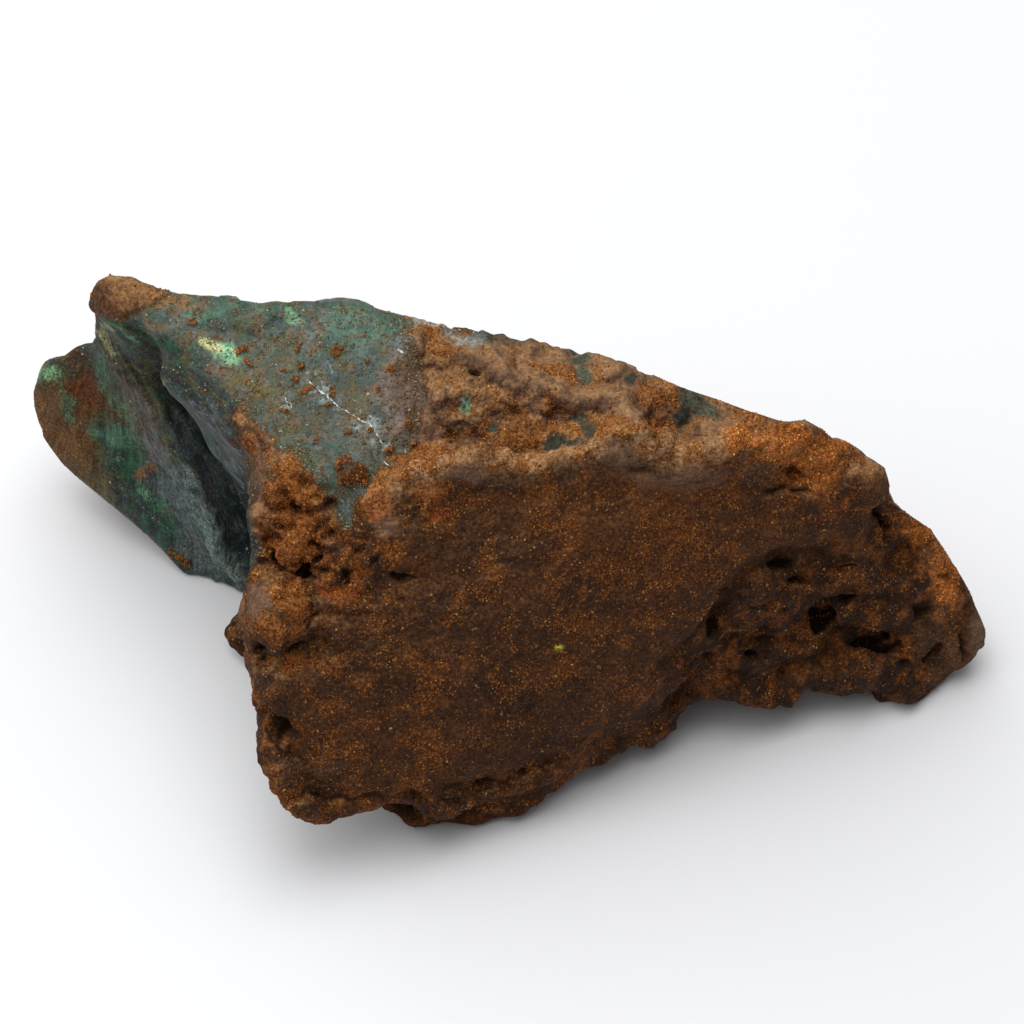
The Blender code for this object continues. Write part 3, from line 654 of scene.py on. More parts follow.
UMBER = paint(66, 42, 25)
SOOT = paint(34, 21, 12)
COCOA = paint(80, 50, 28)
MAUVE = paint(120, 93, 75)
PALE_DUST_AND_LIGHT = paint(166, 126, 82)
RUST = paint(142, 84, 32)
GOLD = paint(140, 96, 46)
FILM = paint(122, 86, 50)
EMBER = paint(176, 76, 22)
OLIVE = paint(102, 86, 42)
BRONZE = paint(112, 74, 30)
AMBER = paint(184, 130, 72)
CHALK = paint(150, 164, 162)
TAN = paint(166, 130, 94)
FLECK = paint(196, 206, 70)
INK = paint(34, 42, 46)
DEEP_TEAL = paint(58, 68, 66)
TEAL = paint(36, 58, 56)
SLATE_GREEN = paint(70, 86, 76)
LEAF = paint(38, 96, 66)
SEA = paint(86, 132, 104)
MINT = paint(140, 196, 146)
CREAM = paint(222, 214, 150)
# A grey painted sheen: the white room reflected on the waxy green.
PAINTED_SHEEN = paint(112, 118, 122)
OXBLOOD = paint(112, 58, 26)
ORANGE = paint(206, 124, 58)
stain_and_painted_light = np.tile(UMBER, (len(points), 1))
print("the stone starts as plain umber")

# %% [markdown]
# The crust is brown earth with sooty and purplish places. Its knobs are worn smooth and hold
# little sand, its shoulders are heaped with it, and rims and places that face the sky are paler,
# partly with dust and partly with painted light. Noise alone would look like camouflage cloth, so
# these are placed one by one and noise frays their edges.

# %% Smooth lumps, sandy shoulders, and rims pale with dust and painted light
# Each row here is an oval: a place on the sheet, a half width, a half height, sometimes a turn.
SMOOTH_LUMPS = [
    (1.4, 8.1, 3.0, 0.8, -12), (5.6, 7.3, 2.4, 0.8, -5), (-6.1, 10.9, 0.9, 0.7),
    (2.6, 9.6, 2.6, 0.6), (-16.0, 0.4, 0.6, 2.8), (-15.6, -5.8, 1.1, 1.6), (-8.0, -0.6, 1.2, 1.5),
    (9.5, 2.2, 4.4, 1.0), (29.2, -7.4, 0.9, 2.0), (-13.6, -8.2, 1.6, 0.6), (-5.4, 6.4, 1.0, 2.6),
    (7.0, 3.6, 2.0, 1.1), (-3.0, 2.4, 1.8, 0.8), (13.0, 5.4, 1.4, 0.8), (-1.6, 10.0, 2.4, 0.6),
]
SHOULDER_SAND = [
    (16.8, 4.2, 2.8, 1.6), (19.0, 3.0, 2.4, 2.4), (21.4, 4.4, 1.6, 0.9), (25.8, -1.8, 1.2, 1.4),
    (27.4, -4.3, 1.2, 3.2), (14.0, 4.6, 1.4, 0.7),
]
PALE_AND_LIT = [
    (18.1, 3.9, 3.4, 2.0), (11.8, 3.6, 2.4, 1.3), (8.4, 4.4, 1.4, 0.9), (-5.4, 2.0, 1.8, 1.2),
    (0.4, 3.2, 3.4, 0.9), (27.2, -4.9, 1.2, 2.6), (26.0, -2.6, 1.4, 1.2),
    (-14.6, 2.0, 1.8, 1.8), (-14.6, -5.8, 1.8, 1.6), (20.4, 4.2, 1.6, 1.0),
]
mottle = soft(3.2, 21)
blotch = soft(1.2, 22)
fleck = soft(0.45, 25)
shoulder = together(SHOULDER_SAND)
smooth_lump = together(SMOOTH_LUMPS) + streak(LONG_RIDGE, 0.9) + 0.8 * streak(BACK_RIDGE, 0.7)
smooth_lump = np.clip(smooth_lump, 0, 1) * (0.55 + 0.45 * step(blotch, -0.3, 0.1))
print("smooth lumps cover", round(100 * smooth_lump.mean()), "% of the skin")

# %% Stain the crust
# Surfaces that face the sky get pale paint, partly dust and partly painted light, and so do some
# rims and knobs
sky_facing_dust_and_light = step(raised_facing[:, 2] + 0.15 * blotch, 0.45, 0.85) * (1 - 0.8 * broad)
sky_facing_dust_and_light *= (1 - 0.85 * wall) * step(up, -14.0, -8.0) * (1 - 0.5 * spot(-1.2, 5.8, 5.0, 2.6))
sky_facing_dust_and_light *= 1 - 0.7 * crumbly
sky_facing_dust_and_light = np.maximum(sky_facing_dust_and_light, together(PALE_AND_LIT) * (0.6 + 0.4 * blotch))

# The washes: brown and sooty mottling, a purplish top, the pale sky-facing places and rim (partly
# dust, partly painted highlight), then rust
lay(COCOA, 0.4 + 0.6 * mottle + 0.4 * blotch)
lay(SOOT, 0.3 * step(-mottle, -0.2, 0.9) * broad + 0.2 * (1 - broad) * step(-blotch, 0.15, 0.6))
lay(MAUVE, 0.42 * crusty_top * (1 - shoulder))
lay(TAN, 0.55 * sky_facing_dust_and_light + 0.65 * streak(RIM, 1.3))
lay(RUST, rough * 0.6 * (1 - smooth_lump) * step(blotch + 0.5 * mottle + 0.4 * fleck, 0.0, 0.6))

# The wall under the lip is darkened but for its outer end, and worn knobs have a purplish film
outer = spot(28.4, -7.4, 3.4, 5.4, 0, 0.8)
lay(SOOT, wall * (1 - 0.8 * outer) * (0.22 + 0.34 * step(-blotch - 0.5 * fleck, -0.2, 0.5)))
lay(COCOA, 0.6 * outer)
lay(SOOT, 0.8 * spot(-17.3, -7.4, 1.2, 2.2, 0, 0.8))
lay(MAUVE, (0.75 - 0.4 * broad) * np.maximum(smooth_lump, spot(29.3, -8.0, 1.1, 2.2)))
# The pale spot on the low ledge is painted light on a face turned down; the one on the tail is its
# greyish colour.
lay(MAUVE, 0.35 * spot(-13.2, -16.2, 3.0, 1.2) + 0.45 * spot(27.0, -8.8, 1.8, 2.6))
print("crust stained,", round(100 * sky_facing_dust_and_light.mean()), "% of it bleached by the sky")

# %% [markdown]
# Loose rusty sand lies where it can: in the valley behind the rim, between lumps, in pits and
# along ledges. The mask for it is kept, because the shader strews its grains by it and the
# separate grains of sand on top follow it too.

# %% Where the sand lies
# Each drift is an oval and how deep the sand lies in it, from 0 to 1.
SAND_DRIFTS = [
    (-10.8, -4.7, 1.5, 0.7, 0.9), (-4.9, 0.3, 1.6, 0.9, 0.6), (-13.8, 0.8, 1.8, 2.6, 0.5),
    (-13.6, -2.3, 1.1, 0.9, 0.7), (-13.9, -5.6, 1.2, 1.6, 0.5), (-13.4, -9.7, 2.2, 0.7, 0.6),
    (-11.6, -12.0, 1.9, 1.2, 0.4), (-4.5, -15.5, 1.5, 1.0, 0.45), (-5.7, -17.2, 0.8, 0.8, 0.45),
    (0.1, -11.2, 1.5, 1.0, 0.4), (17.9, 2.6, 2.2, 1.5, 0.7), (13.2, 1.2, 2.2, 1.0, 0.4),
    (21.4, 4.0, 1.8, 1.2, 0.4), (23.0, -4.4, 3.6, 1.2, 0.35), (11.0, -1.5, 2.6, 1.2, 0.3),
    (4.6, -7.4, 2.2, 1.6, 0.3), (-7.6, -9.0, 2.0, 1.4, 0.25), (27.0, -4.0, 0.8, 2.6, 0.6),
    (25.2, -1.2, 1.6, 0.8, 0.4), (2.4, 8.6, 2.4, 0.6, 0.7), (-3.6, 10.2, 2.4, 0.5, 0.6),
    (0.4, 10.5, 1.6, 0.4, 0.6), (9.6, 7.4, 2.2, 0.9, 0.6), (14.6, 5.9, 1.6, 0.7, 0.5),
    (9.0, -0.2, 1.6, 1.4, 0.4), (6.2, -3.6, 2.0, 1.3, 0.4), (-2.2, -5.2, 1.4, 0.9, 0.3),
    (-4.4, -0.2, 1.1, 0.7, 0.5), (2.2, -10.0, 2.3, 2.1, 0.4), (-2.4, -13.8, 0.8, 0.8, 0.3),
    (-6.0, -14.3, 1.2, 1.1, 0.3), (11.6, -1.1, 0.9, 1.1, 0.3), (10.5, -2.4, 4.2, 2.8, 0.25),
    (3.4, 0.6, 3.6, 1.4, 0.25),
]
VALLEY = [(-8.2, 2.2), (-3.4, 4.5), (1.8, 4.7), (5.4, 5.3), (9.6, 5.2)]
drift = sum(amount * spot(x, y, wide, tall) for x, y, wide, tall, amount in SAND_DRIFTS)
drift = drift + 0.5 * streak(VALLEY, 1.0) + 0.6 * shoulder
settled_sand = soft(2.2, 23) + 0.6 * blotch + 0.3 * fleck
sand = (0.75 - 0.2 * broad) * step(settled_sand, -0.15 * broad, 0.7 + 0.15 * broad)
sand += 0.10 + 0.9 * drift
sand += 0.25 * rough * step(0.8 - small_lumps, 0.0, 0.6) + 0.15 * crumbly
sand = np.clip(sand - 0.7 * smooth_lump - 0.5 * step(pit_depth, 0.1, 0.5), 0.04, 0.9)
sand *= (1 - green) * (1 - 0.4 * wall) * (1 - 0.6 * beak_knob)
print("sand covers about", round(100 * sand.mean()), "% of the stone")

# %% Stain what the sand lies on
ember = spot(-10.8, -4.7, 1.6, 0.7) + 0.7 * spot(-4.6, 0.0, 1.0, 0.6)
ember = ember + 0.8 * spot(-13.9, -9.7, 0.8, 0.4)
lay(RUST, 0.55 * step(sand, 0.25, 0.8) * (1 - 0.4 * broad))
lay(ORANGE, 0.55 * crumbly * step(sand, 0.25, 0.7))
lay(ORANGE, 0.5 * spot(-8.6, 0.8, 1.1, 1.6) + 0.45 * spot(-5.2, 1.4, 1.5, 1.0))

# Bare brown knobs between the drifts
lay(COCOA, 0.85 * spot(22.4, 1.9, 1.7, 1.5) + 0.5 * spot(-10.4, 2.0, 0.6, 0.6))
lay(COCOA, 0.8 * spot(-2.0, 4.0, 1.8, 0.8) + 0.25 * beak_knob)
lay(SOOT, 0.14 * spot(-7.0, -8.7, 4.0, 4.0))

# The brightest sand: on the right shoulder, and painted highlight where it faces the sky
lay(AMBER, 0.65 * step(sand, 0.25, 0.8) * sky_facing_dust_and_light)
lay(ORANGE, 0.9 * shoulder * step(settled_sand, -0.9, 0.1))
lay(AMBER, 0.45 * shoulder * step(settled_sand, 0.0, 0.5))
lay(OXBLOOD, 0.7 * spot(18.2, 1.9, 1.3, 1.0))
lay(EMBER, 0.6 * ember)
lay(RUST, 0.16 * spot(8.0, -0.5, 8.5, 4.5) * broad)
# Flat tops that face the sky get pale paint: partly dust, partly painted light from above.
lit_dusty_top = step(raised_facing[:, 2] + 0.1 * blotch, 0.80, 1.0)
lay(PALE_DUST_AND_LIGHT, 0.5 * lit_dusty_top * (1 - green) * (1 - 0.6 * broad) * (1 - wall))

# One yellow-green fleck on the broad face
lay(FLECK, spot(3.0, -8.6, 0.34, 0.26))
print("sandy places stained, the brightest of them", round(100 * ember.mean(), 1), "% of the skin")

# %% [markdown]
# ## The green stone
# Bare mineral shows on the upper left face, under the beak and in small windows of the crust. It
# is waxy and dark, paler and minty where it is chipped, and nearly black in the folds, partly its
# own colour and partly painted shade. Where the light grazes its fibres it has a grey painted sheen.
# Rust has crept over it from its edges.

# %% Stain the green stone
chalky = soft(2.0, 31)
cloud = soft(0.7, 32)


def on_green(over, mask):
    """Lays a paint on the bare green stone alone."""
    lay(over, mask * green)


# Clouds of green, then the brown film that creeps in from the right
on_green(SLATE_GREEN, np.ones(len(points)))
on_green(TEAL, 0.30 + 0.6 * chalky + 0.5 * cloud)
on_green(OLIVE, 0.5 * step(-chalky, 0.0, 0.5) + 0.35 * spot(-16.0, 9.0, 3.6, 3.0))
on_green(SEA, 0.45 * spot(-9.8, 11.6, 3.2, 1.7) + 0.25 * step(cloud, 0.15, 0.5))
on_green(LEAF, 0.4 * spot(-17.5, 12.6, 5.0, 0.9) + 0.2 * step(chalky - cloud, 0.3, 0.7))
on_green(FILM, 0.55 * step(blotch + 0.6 * fleck, 0.0, 0.5) + 0.3 * spot(-8.6, 5.0, 2.6, 2.6))
on_green(MAUVE, 0.7 * spot(-6.9, 7.6, 2.0, 4.4) + 0.3 * spot(-10.4, 6.6, 1.8, 1.2))
on_green(COCOA, 0.6 * spot(-6.0, 7.0, 1.4, 4.6))
on_green(OLIVE, 0.55 * spot(-12.0, 7.0, 3.6, 2.8) * step(blotch, -0.5, 0.2))
on_green(INK, 0.32 * spot(-12.0, 7.0, 2.8, 2.4))
# Grey painted sheen on the waxy face.
on_green(PAINTED_SHEEN, 0.3 * step(-cloud, 0.1, 0.5) + 0.6 * spot(-10.3, 0.1, 0.7, 1.0))

# Chalky veins, and the minty and golden chips near the beak
veins = streak([(-12.9, 8.3), (-11.6, 7.3), (-10.2, 6.2), (-8.9, 5.5), (-8.0, 4.0)], 0.8)
veins = veins + spot(-14.2, 7.0, 0.8, 0.8) + spot(-7.6, 3.4, 0.6, 0.6) + spot(-6.6, 10.6, 1.2, 0.5)
on_green(CHALK, 0.65 * veins * step(cloud + 0.6 * broken, 0.0, 0.4))
on_green(MINT, 0.85 * spot(-18.0, 10.1, 1.5, 0.95, -25) + 0.6 * spot(-13.8, 12.2, 0.8, 0.5))
on_green(CREAM, 0.9 * spot(-18.9, 10.4, 0.9, 0.65, -35) + 0.4 * spot(-17.4, 10.3, 0.5, 0.2, -20))
on_green(SEA, 0.5 * spot(-19.5, 12.4, 2.0, 0.5))
on_green(GOLD, 0.9 * spot(-21.6, 13.1, 2.2, 0.6, -8) + 0.5 * spot(-22.4, 11.9, 1.0, 0.4, -20))
print("upper green face stained")

# %% [markdown]
# The folded side is striped along its folds: dark ink in the hollows, partly the mineral's own
# colour and partly painted shade, grey painted sheen and green on the crests, and a rusty fin
# beyond. Stripes made by noise would miss the folds that were just modelled, so each stripe is a
# path on the sheet, and the fine ribs of the relief break it into fibres.

# %% Bands and patches under the beak
FOLD_FOOT = [(-16.6, 1.8), (-16.2, -1.2), (-16.3, -3.6)]
# Each band is a paint, a path, a half width and an amount.
# The ink bands are partly the mineral's dark colour and partly painted shade; the ink along the
# fold's foot is painted shade. The grey sheen bands and the chalk band from the crest down are
# painted sheen. The slate band, the olive band beside it and the wide grey band down the crevice are
# painted light that lifts the deep fold.
BANDS = [
    (SEA, [(-26.0, 9.4), (-25.2, 7.4), (-24.2, 6.1), (-23.6, 4.5)], 0.6, 0.6),
    (SEA, [(-26.4, 5.0), (-24.6, 4.6)], 0.8, 0.5),
    (MINT, [(-23.4, 2.0), (-22.6, 1.1), (-21.8, 0.1)], 0.4, 0.5),
    (MAUVE, [(-25.4, 10.5), (-24.0, 8.0), (-23.1, 5.8), (-22.5, 3.6)], 0.9, 0.55),
    (PAINTED_SHEEN, [(-22.6, 4.4), (-21.6, 1.2), (-20.3, -1.8), (-19.0, -4.0)], 1.0, 0.55),
    (OLIVE, [(-22.8, 10.5), (-21.2, 8.9), (-19.6, 7.4), (-18.2, 5.5)], 0.6, 0.45),
    (PAINTED_SHEEN, [(-21.0, 8.0), (-20.0, 6.4), (-18.6, 4.4), (-17.6, 2.4)], 0.5, 0.35),
    (PAINTED_SHEEN, [(-19.0, 4.0), (-17.8, 1.6), (-17.0, -0.8)], 0.4, 0.3),
    (PAINTED_SHEEN, [(-17.1, 0.2), (-16.9, -1.4), (-16.7, -3.0)], 0.25, 0.8),
    (INK, [(-22.6, 10.2), (-20.8, 8.4), (-18.8, 5.8), (-17.2, 2.9), (-16.5, 0.6)], 1.3, 0.6),
    (INK, [(-17.0, 1.6), (-16.5, -1.2), (-16.6, -3.4)], 0.9, 0.9),
    (SLATE_GREEN, [(-22.8, 9.0), (-21.4, 7.0), (-20.2, 5.2), (-19.3, 3.9)], 0.9, 0.8),
    (PAINTED_SHEEN, [(-20.8, 6.0), (-20.0, 3.8), (-19.0, 1.8), (-18.0, -0.6)], 0.9, 0.75),
    (PAINTED_SHEEN, [(-19.6, 6.6), (-18.4, 4.6), (-17.4, 2.6)], 0.2, 0.6),
    (PAINTED_SHEEN, [(-18.9, 6.4), (-17.7, 4.2), (-16.9, 2.4)], 0.15, 0.6),
    (OLIVE, [(-23.4, 9.6), (-22.4, 8.4)], 0.7, 0.8),
    (CHALK, [(-20.9, 2.6), (-19.6, 0.1), (-18.4, -2.4), (-17.2, -4.2)], 0.9, 0.55),
    (LEAF, [(-23.6, 11.6), (-21.6, 10.2), (-20.2, 8.8)], 0.5, 0.6),
    (LEAF, [(-22.4, 0.7), (-21.0, -1.6)], 0.6, 0.8),
    (OLIVE, [(-24.2, 9.0), (-22.6, 7.0)], 0.5, 0.5),
    (MINT, [(-25.6, 12.1), (-24.6, 11.4), (-23.8, 10.6)], 0.35, 0.55),
    (CREAM, [(-25.9, 11.7), (-25.4, 10.9), (-24.7, 10.1)], 0.3, 0.6),
    (OLIVE, [(-24.4, 9.7), (-23.2, 8.0), (-22.2, 5.6), (-21.2, 3.2)], 0.3, 0.7),
    (INK, FOLD_FOOT, 0.9, 1.2),
    (INK, [(-20.7, 8.4), (-19.4, 6.3), (-18.2, 4.1), (-17.2, 1.9)], 0.8, 0.6),
    (PAINTED_SHEEN, [(-20.2, 7.2), (-19.0, 5.2), (-17.9, 3.0), (-17.1, 1.4)], 0.15, 0.55),
    (PAINTED_SHEEN, [(-19.6, 7.4), (-18.4, 5.4), (-17.4, 3.6)], 0.12, 0.4),
    (OLIVE, [(-20.9, 9.8), (-19.4, 7.9), (-18.0, 6.2), (-16.9, 4.6)], 0.3, 0.6),
]
# Each patch is a paint, an oval with its turn, and an amount.
# The grey sheen patch at the fin's foot is painted sheen.
FIN_PATCHES = [
    (BRONZE, -27.4, 5.6, 4.4, 6.0, 25, 0.9), (LEAF, -24.9, 4.0, 1.7, 3.4, 40, 0.85),
    (OLIVE, -26.0, 1.2, 3.4, 1.0, -38, 0.6), (OXBLOOD, -26.9, 7.4, 1.7, 1.9, 0, 0.8),
    (OXBLOOD, -27.6, 9.8, 1.6, 0.6, 0, 0.6), (OXBLOOD, -24.2, 5.6, 0.8, 1.6, 20, 0.35),
    (SEA, -26.0, 4.9, 0.6, 1.4, 20, 0.45), (LEAF, -28.6, 8.4, 0.7, 2.0, 10, 0.5),
    (SEA, -27.9, 6.6, 0.35, 1.8, 15, 0.5),
    (MINT, -29.0, 8.7, 1.1, 0.8, -20, 0.9), (SEA, -28.0, 6.6, 0.6, 1.8, 15, 0.4),
    (RUST, -23.1, 2.6, 0.4, 0.7, 0, 0.8), (FILM, -30.0, 6.4, 1.2, 3.0, 25, 0.9),
    (FILM, -28.4, 4.2, 1.6, 1.4, 0, 0.7), (PAINTED_SHEEN, -20.2, -3.4, 1.8, 1.0, -60, 0.4),
]
print(len(BANDS), "bands and", len(FIN_PATCHES), "patches")

# %% Stain the folds under the beak
rusted = spot(-27.4, 5.6, 4.4, 6.0, 25) * (1 - spot(-24.9, 4.0, 1.7, 3.4, 40)) * green * fluted
on_green(DEEP_TEAL, fluted * (0.7 + 0.5 * folds))
on_green(LEAF, 0.5 * fluted * step(cloud - 0.3 * chalky, 0.0, 0.5))
for colour, x, y, wide, tall, turn, amount in FIN_PATCHES:
    on_green(colour, amount * spot(x, y, wide, tall, turn, 0.8))
for colour, path, width, amount in BANDS:
    on_green(colour, amount * streak(path, width) * (0.7 + 0.8 * np.abs(ribs)))
# Ink in the fold below the beak, partly the mineral's dark colour and partly painted shade; the
# crevice's middle is kept lighter.
in_fold = step(reach, 1.0, 4.0) * (1 - streak([(-20.4, 5.0), (-19.4, 2.4), (-18.0, -0.6)], 1.2))
on_green(INK, 0.7 * fluted * (1 - rusted) * in_fold * step(-cloud - 0.5 * ribs, 0.0, 0.5))
print("folds stained")

# %% [markdown]
# The boundary of the two skins is never sharp. Rust creeps over the green in a thin film, crumbs
# of crust sit alone on it, and a few windows in the crust let the green show through.

# %% Windows in the crust
# Each window is a paint and an oval with its turn.
WINDOWS = [
    (TEAL, 4.3, 5.9, 0.7, 0.6, 0), (TEAL, 4.9, 5.2, 0.7, 0.6, 0), (TEAL, 3.8, 4.6, 0.9, 0.45, 0),
    (TEAL, 2.4, 4.5, 0.9, 0.45, 0), (SLATE_GREEN, 4.3, 9.4, 1.2, 0.4, -8),
    (SLATE_GREEN, 4.4, 8.6, 0.9, 0.5, -20), (TEAL, 7.6, 8.2, 0.6, 0.35, 20),
    (SLATE_GREEN, 11.8, 6.9, 1.9, 1.1, -30), (TEAL, 10.8, 5.9, 0.6, 0.6, 0),
    (SEA, -3.1, 6.7, 0.55, 0.6, 0), (CHALK, -3.2, 7.1, 0.2, 0.2, 0),
    (INK, -3.3, 6.7, 0.16, 0.14, 0), (INK, -2.9, 6.9, 0.14, 0.14, 0),
    (INK, -2.9, 6.4, 0.12, 0.12, 0), (TEAL, -8.4, 6.0, 0.5, 0.3, 0),
    (TEAL, -1.0, 5.4, 0.7, 0.4, 30),
]
window = np.zeros(len(points))
for colour, x, y, wide, tall, turn in WINDOWS:
    mask = spot(x, y, wide, tall, turn)
    mask = step(mask + broken, 0.1, 0.7) * step(mask, 0.0, 0.2)
    lay(colour, 0.85 * mask)
    window = np.maximum(window, mask)
print(len(WINDOWS), "windows cover", round(100 * window.mean(), 1), "% of the skin")

# %% Films, crumbs and dust along the boundary
grey_edge = streak([(-6.6, 12.2), (-5.4, 11.9), (-3.9, 11.3), (-2.4, 10.8)], 0.7) * (1 - green)
green_edge = streak([(-2.4, 11.0), (-0.6, 10.7), (0.8, 10.6)], 0.5) * (1 - green)
# The pale grey streak along the top edge is painted sheen; the green streak beside it is bare stone.
lay(CHALK, 0.7 * grey_edge)
lay(TEAL, 0.7 * green_edge)
grey_edge = np.maximum(grey_edge, green_edge)
window = np.maximum(window, grey_edge)
lay(BRONZE, 0.85 * crumb_mask)
lay(MAUVE, 0.6 * spot(-10.2, 2.9, 0.8, 0.6) * crumb_mask)
lay(SOOT, 0.5 * spot(-9.5, 1.9, 1.0, 0.6))
film = np.clip(1 - 2 * np.abs(green - 0.5), 0, 1) * front
lay(COCOA, 0.7 * film)
lay(OLIVE, 0.5 * beak_knob * green)

# A dusting of sand lies on the green too, thicker along the border of the crust
dusty = 0.14 + 0.30 * step(blotch + 0.6 * fleck, 0.05, 0.6) + 0.25 * step(-reach, -4.0, -1.0)
sand = np.maximum(sand * (1 - window), 0.42 * crumb_mask) + green * dusty * (1 - 0.5 * fluted)
border = inside(GREEN_END, 2.6)
sand += 1.1 * green * front * (1 - fluted) * step(1 - border, 0.0, 0.5)
sand = np.clip(sand, 0, 0.9)
print("with the bare edges", round(100 * window.mean(), 1), "% of the skin")

# %% [markdown]
# ## What the shader has to know
# Light does not reach far into a pit, so deep places and creases get painted shade. Then every mask
# is stored on the skin as an attribute, one number for each point of the net. Image textures could
# hold them too, but a stone would have to be unwrapped for them and would show seams. Attributes
# need no unwrapping and have no seams.

# %% Darken what lies deep
deep = step(pit_depth, 0.15, 0.9)
creases = rough * step(0.5 - np.minimum(small_lumps, gravel), 0.0, 0.5)
# Painted shade in pits and creases.
stain_and_painted_light *= (1 - 0.66 * deep)[:, None]
stain_and_painted_light *= (1 - (0.15 + 0.38 * crumbly) * creases)[:, None]
streaky = 1 - fluted * (0.75 - 1.2 * np.abs(ribs))
polish = green * (0.75 + 0.4 * chalky) * (1 - crumb_mask) * streaky * (1 - 0.8 * rusted)
polish = np.clip(polish * (1 - 0.95 * streak(FOLD_FOOT, 1.2)), 0, 1)
print("pits darken", round(100 * deep.mean(), 1), "% of the skin")


# %% Keep it all on the skin
def keep(name, values):
    """Stores one number for each point of the net under a name the shader can read."""
    row = skin.data.attributes.new(name, "FLOAT", "POINT")
    row.data.foreach_set("value", np.ascontiguousarray(values, dtype=np.float32))


colours = np.ones((len(points), 4), dtype=np.float32)
colours[:, :3] = np.clip(stain_and_painted_light, 0, 1)
colour_layer = skin.data.attributes.new("stain_and_painted_light", "FLOAT_COLOR", "POINT")
colour_layer.data.foreach_set("color", colours.ravel())
keep("sand", sand)
keep("polish", polish)
filmed = spot(-6.6, 7.2, 2.2, 4.6, edge=0.8)
keep("bare", green * (1 - crumb_mask) * (1 - 0.8 * rusted) * (1 - 0.6 * filmed))
clods = rough * np.clip(0.15 + 0.9 * sand + 0.6 * crumbly, 0, 1) * (1 - 0.8 * smooth_lump)
keep("clods", np.clip(clods * (1 - 0.6 * wall) * (1 - window) + 0.8 * crumb_mask, 0, 1))
DULL = 0.82  # how bright a grain is where nothing makes it brighter
# Grains are made brighter where they face the sky, which is painted light; on the right shoulder,
# partly brighter sand and partly painted light; and a little on the pillar, where the sand is
# brighter.
keep("sand_tone_and_painted_light", DULL + (0.6 * sky_facing_dust_and_light + 1.25 * shoulder + 0.25 * crumbly) * (1 - green))
calm = 0.9 * smooth_lump + 0.6 * sky_facing_dust_and_light * (1 - green) + 0.1 * broad
keep("calm", np.clip(calm + 0.5 * green * (1 - fluted), 0, 1))
keep("folded", folded * front)
keep("fan", fan + waver)
keep("reach", reach)
print("darkest stain", stain_and_painted_light.min().round(4), "brightest", stain_and_painted_light.max().round(2))

# %% [markdown]
# ## The shader
# The net is a sixth of a millimetre wide, and sand is finer. So the shader strews grains itself:
# each cell of a Voronoi texture is a grain if its random number is below the sand mask, and gets
# its own tint and its own little dome. The bare green is waxy, so it is smoother and shines.

# %% Start the stone's material
material = bpy.data.materials.new("crusted_green_stone")
material.use_nodes = True
nodes = material.node_tree.nodes
links = material.node_tree.links
shader = nodes["Principled BSDF"]


def node(kind, **settings):
    """A new node with its settings."""
    made = nodes.new(kind)
    for name, value in settings.items():
        setattr(made, name, value)
    return made


def feed(socket, value):
    """Links an output into a socket, or sets the socket to a plain value."""
    if isinstance(value, bpy.types.NodeSocket):
        links.new(value, socket)
    else:
        socket.default_value = value


print("material starts with", len(nodes), "nodes")


# %% Sums with numbers
def maths(operation, first, second):
    """One sum with two numbers."""
    made = node("ShaderNodeMath", operation=operation)
    feed(made.inputs[0], first)
    feed(made.inputs[1], second)
    return made.outputs[0]


def times(first, second):
    return maths("MULTIPLY", first, second)


def plus(first, second):
    return maths("ADD", first, second)


def spread_to(value, low, high, to_low, to_high):
    """Turns the range from low to high into the range from to_low to to_high."""
    made = node("ShaderNodeMapRange")
    for index, item in enumerate((value, low, high, to_low, to_high)):
        feed(made.inputs[index], item)
    return made.outputs[0]


def ranged(mask, at_none, at_full):
    """A number that is at_none where a mask is 0 and at_full where it is 1."""
    return spread_to(mask, 0.0, 1.0, at_none, at_full)


def swung(noise_value, low, high):
    """Lets noise, which is mostly from 0.3 to 0.7, swing from low to high."""
    return spread_to(noise_value, 0.3, 0.7, low, high)


print("sums ready")


# %% Sums with colours
def mixed(share, first, second):
    """The first colour where the share is 0, the second where it is 1 (inputs 6 and 7)."""
    made = node("ShaderNodeMix", data_type="RGBA")
    feed(made.inputs[0], share)
    feed(made.inputs[6], first)
    feed(made.inputs[7], second)
    return made.outputs[2]


def scaled(colour_in, amount):
    """A colour made brighter or darker."""
    made = node("ShaderNodeVectorMath", operation="SCALE")
    feed(made.inputs[0], colour_in)
    feed(made.inputs["Scale"], amount)
    return made.outputs[0]


def multiplied(first, second):
    """Two colours multiplied, as when one tints the other."""
    made = node("ShaderNodeVectorMath", operation="MULTIPLY")
    feed(made.inputs[0], first)
    feed(made.inputs[1], second)
    return made.outputs[0]


print("colours ready")


# %% Read the skin, and make noise and cells
def layer(name, output="Fac"):
    """What was kept on the skin under a name."""
    return node("ShaderNodeAttribute", attribute_name=name).outputs[output]


where = node("ShaderNodeTexCoord").outputs["Object"]


def noise_of(size_mm, detail=4.0, roughness=0.6, vector=where, output="Fac"):
    """Cloudy noise about size mm wide, mostly from 0.3 to 0.7."""
    made = node("ShaderNodeTexNoise")
    feed(made.inputs["Vector"], vector)
    made.inputs["Scale"].default_value = 1.0 / (size_mm * MM)
    made.inputs["Detail"].default_value = detail
    made.inputs["Roughness"].default_value = roughness
    return made.outputs[output]


def cells_of(size_mm, vector=where):
    """A cell texture: how far each spot is from its cell's middle, and two random numbers."""
    made = node("ShaderNodeTexVoronoi")
    feed(made.inputs["Vector"], vector)
    made.inputs["Scale"].default_value = 1.0 / (size_mm * MM)
    split = node("ShaderNodeSeparateColor")
    feed(split.inputs[0], made.outputs["Color"])
    return made.outputs["Distance"], split.outputs[0], split.outputs[1]


print("textures ready")

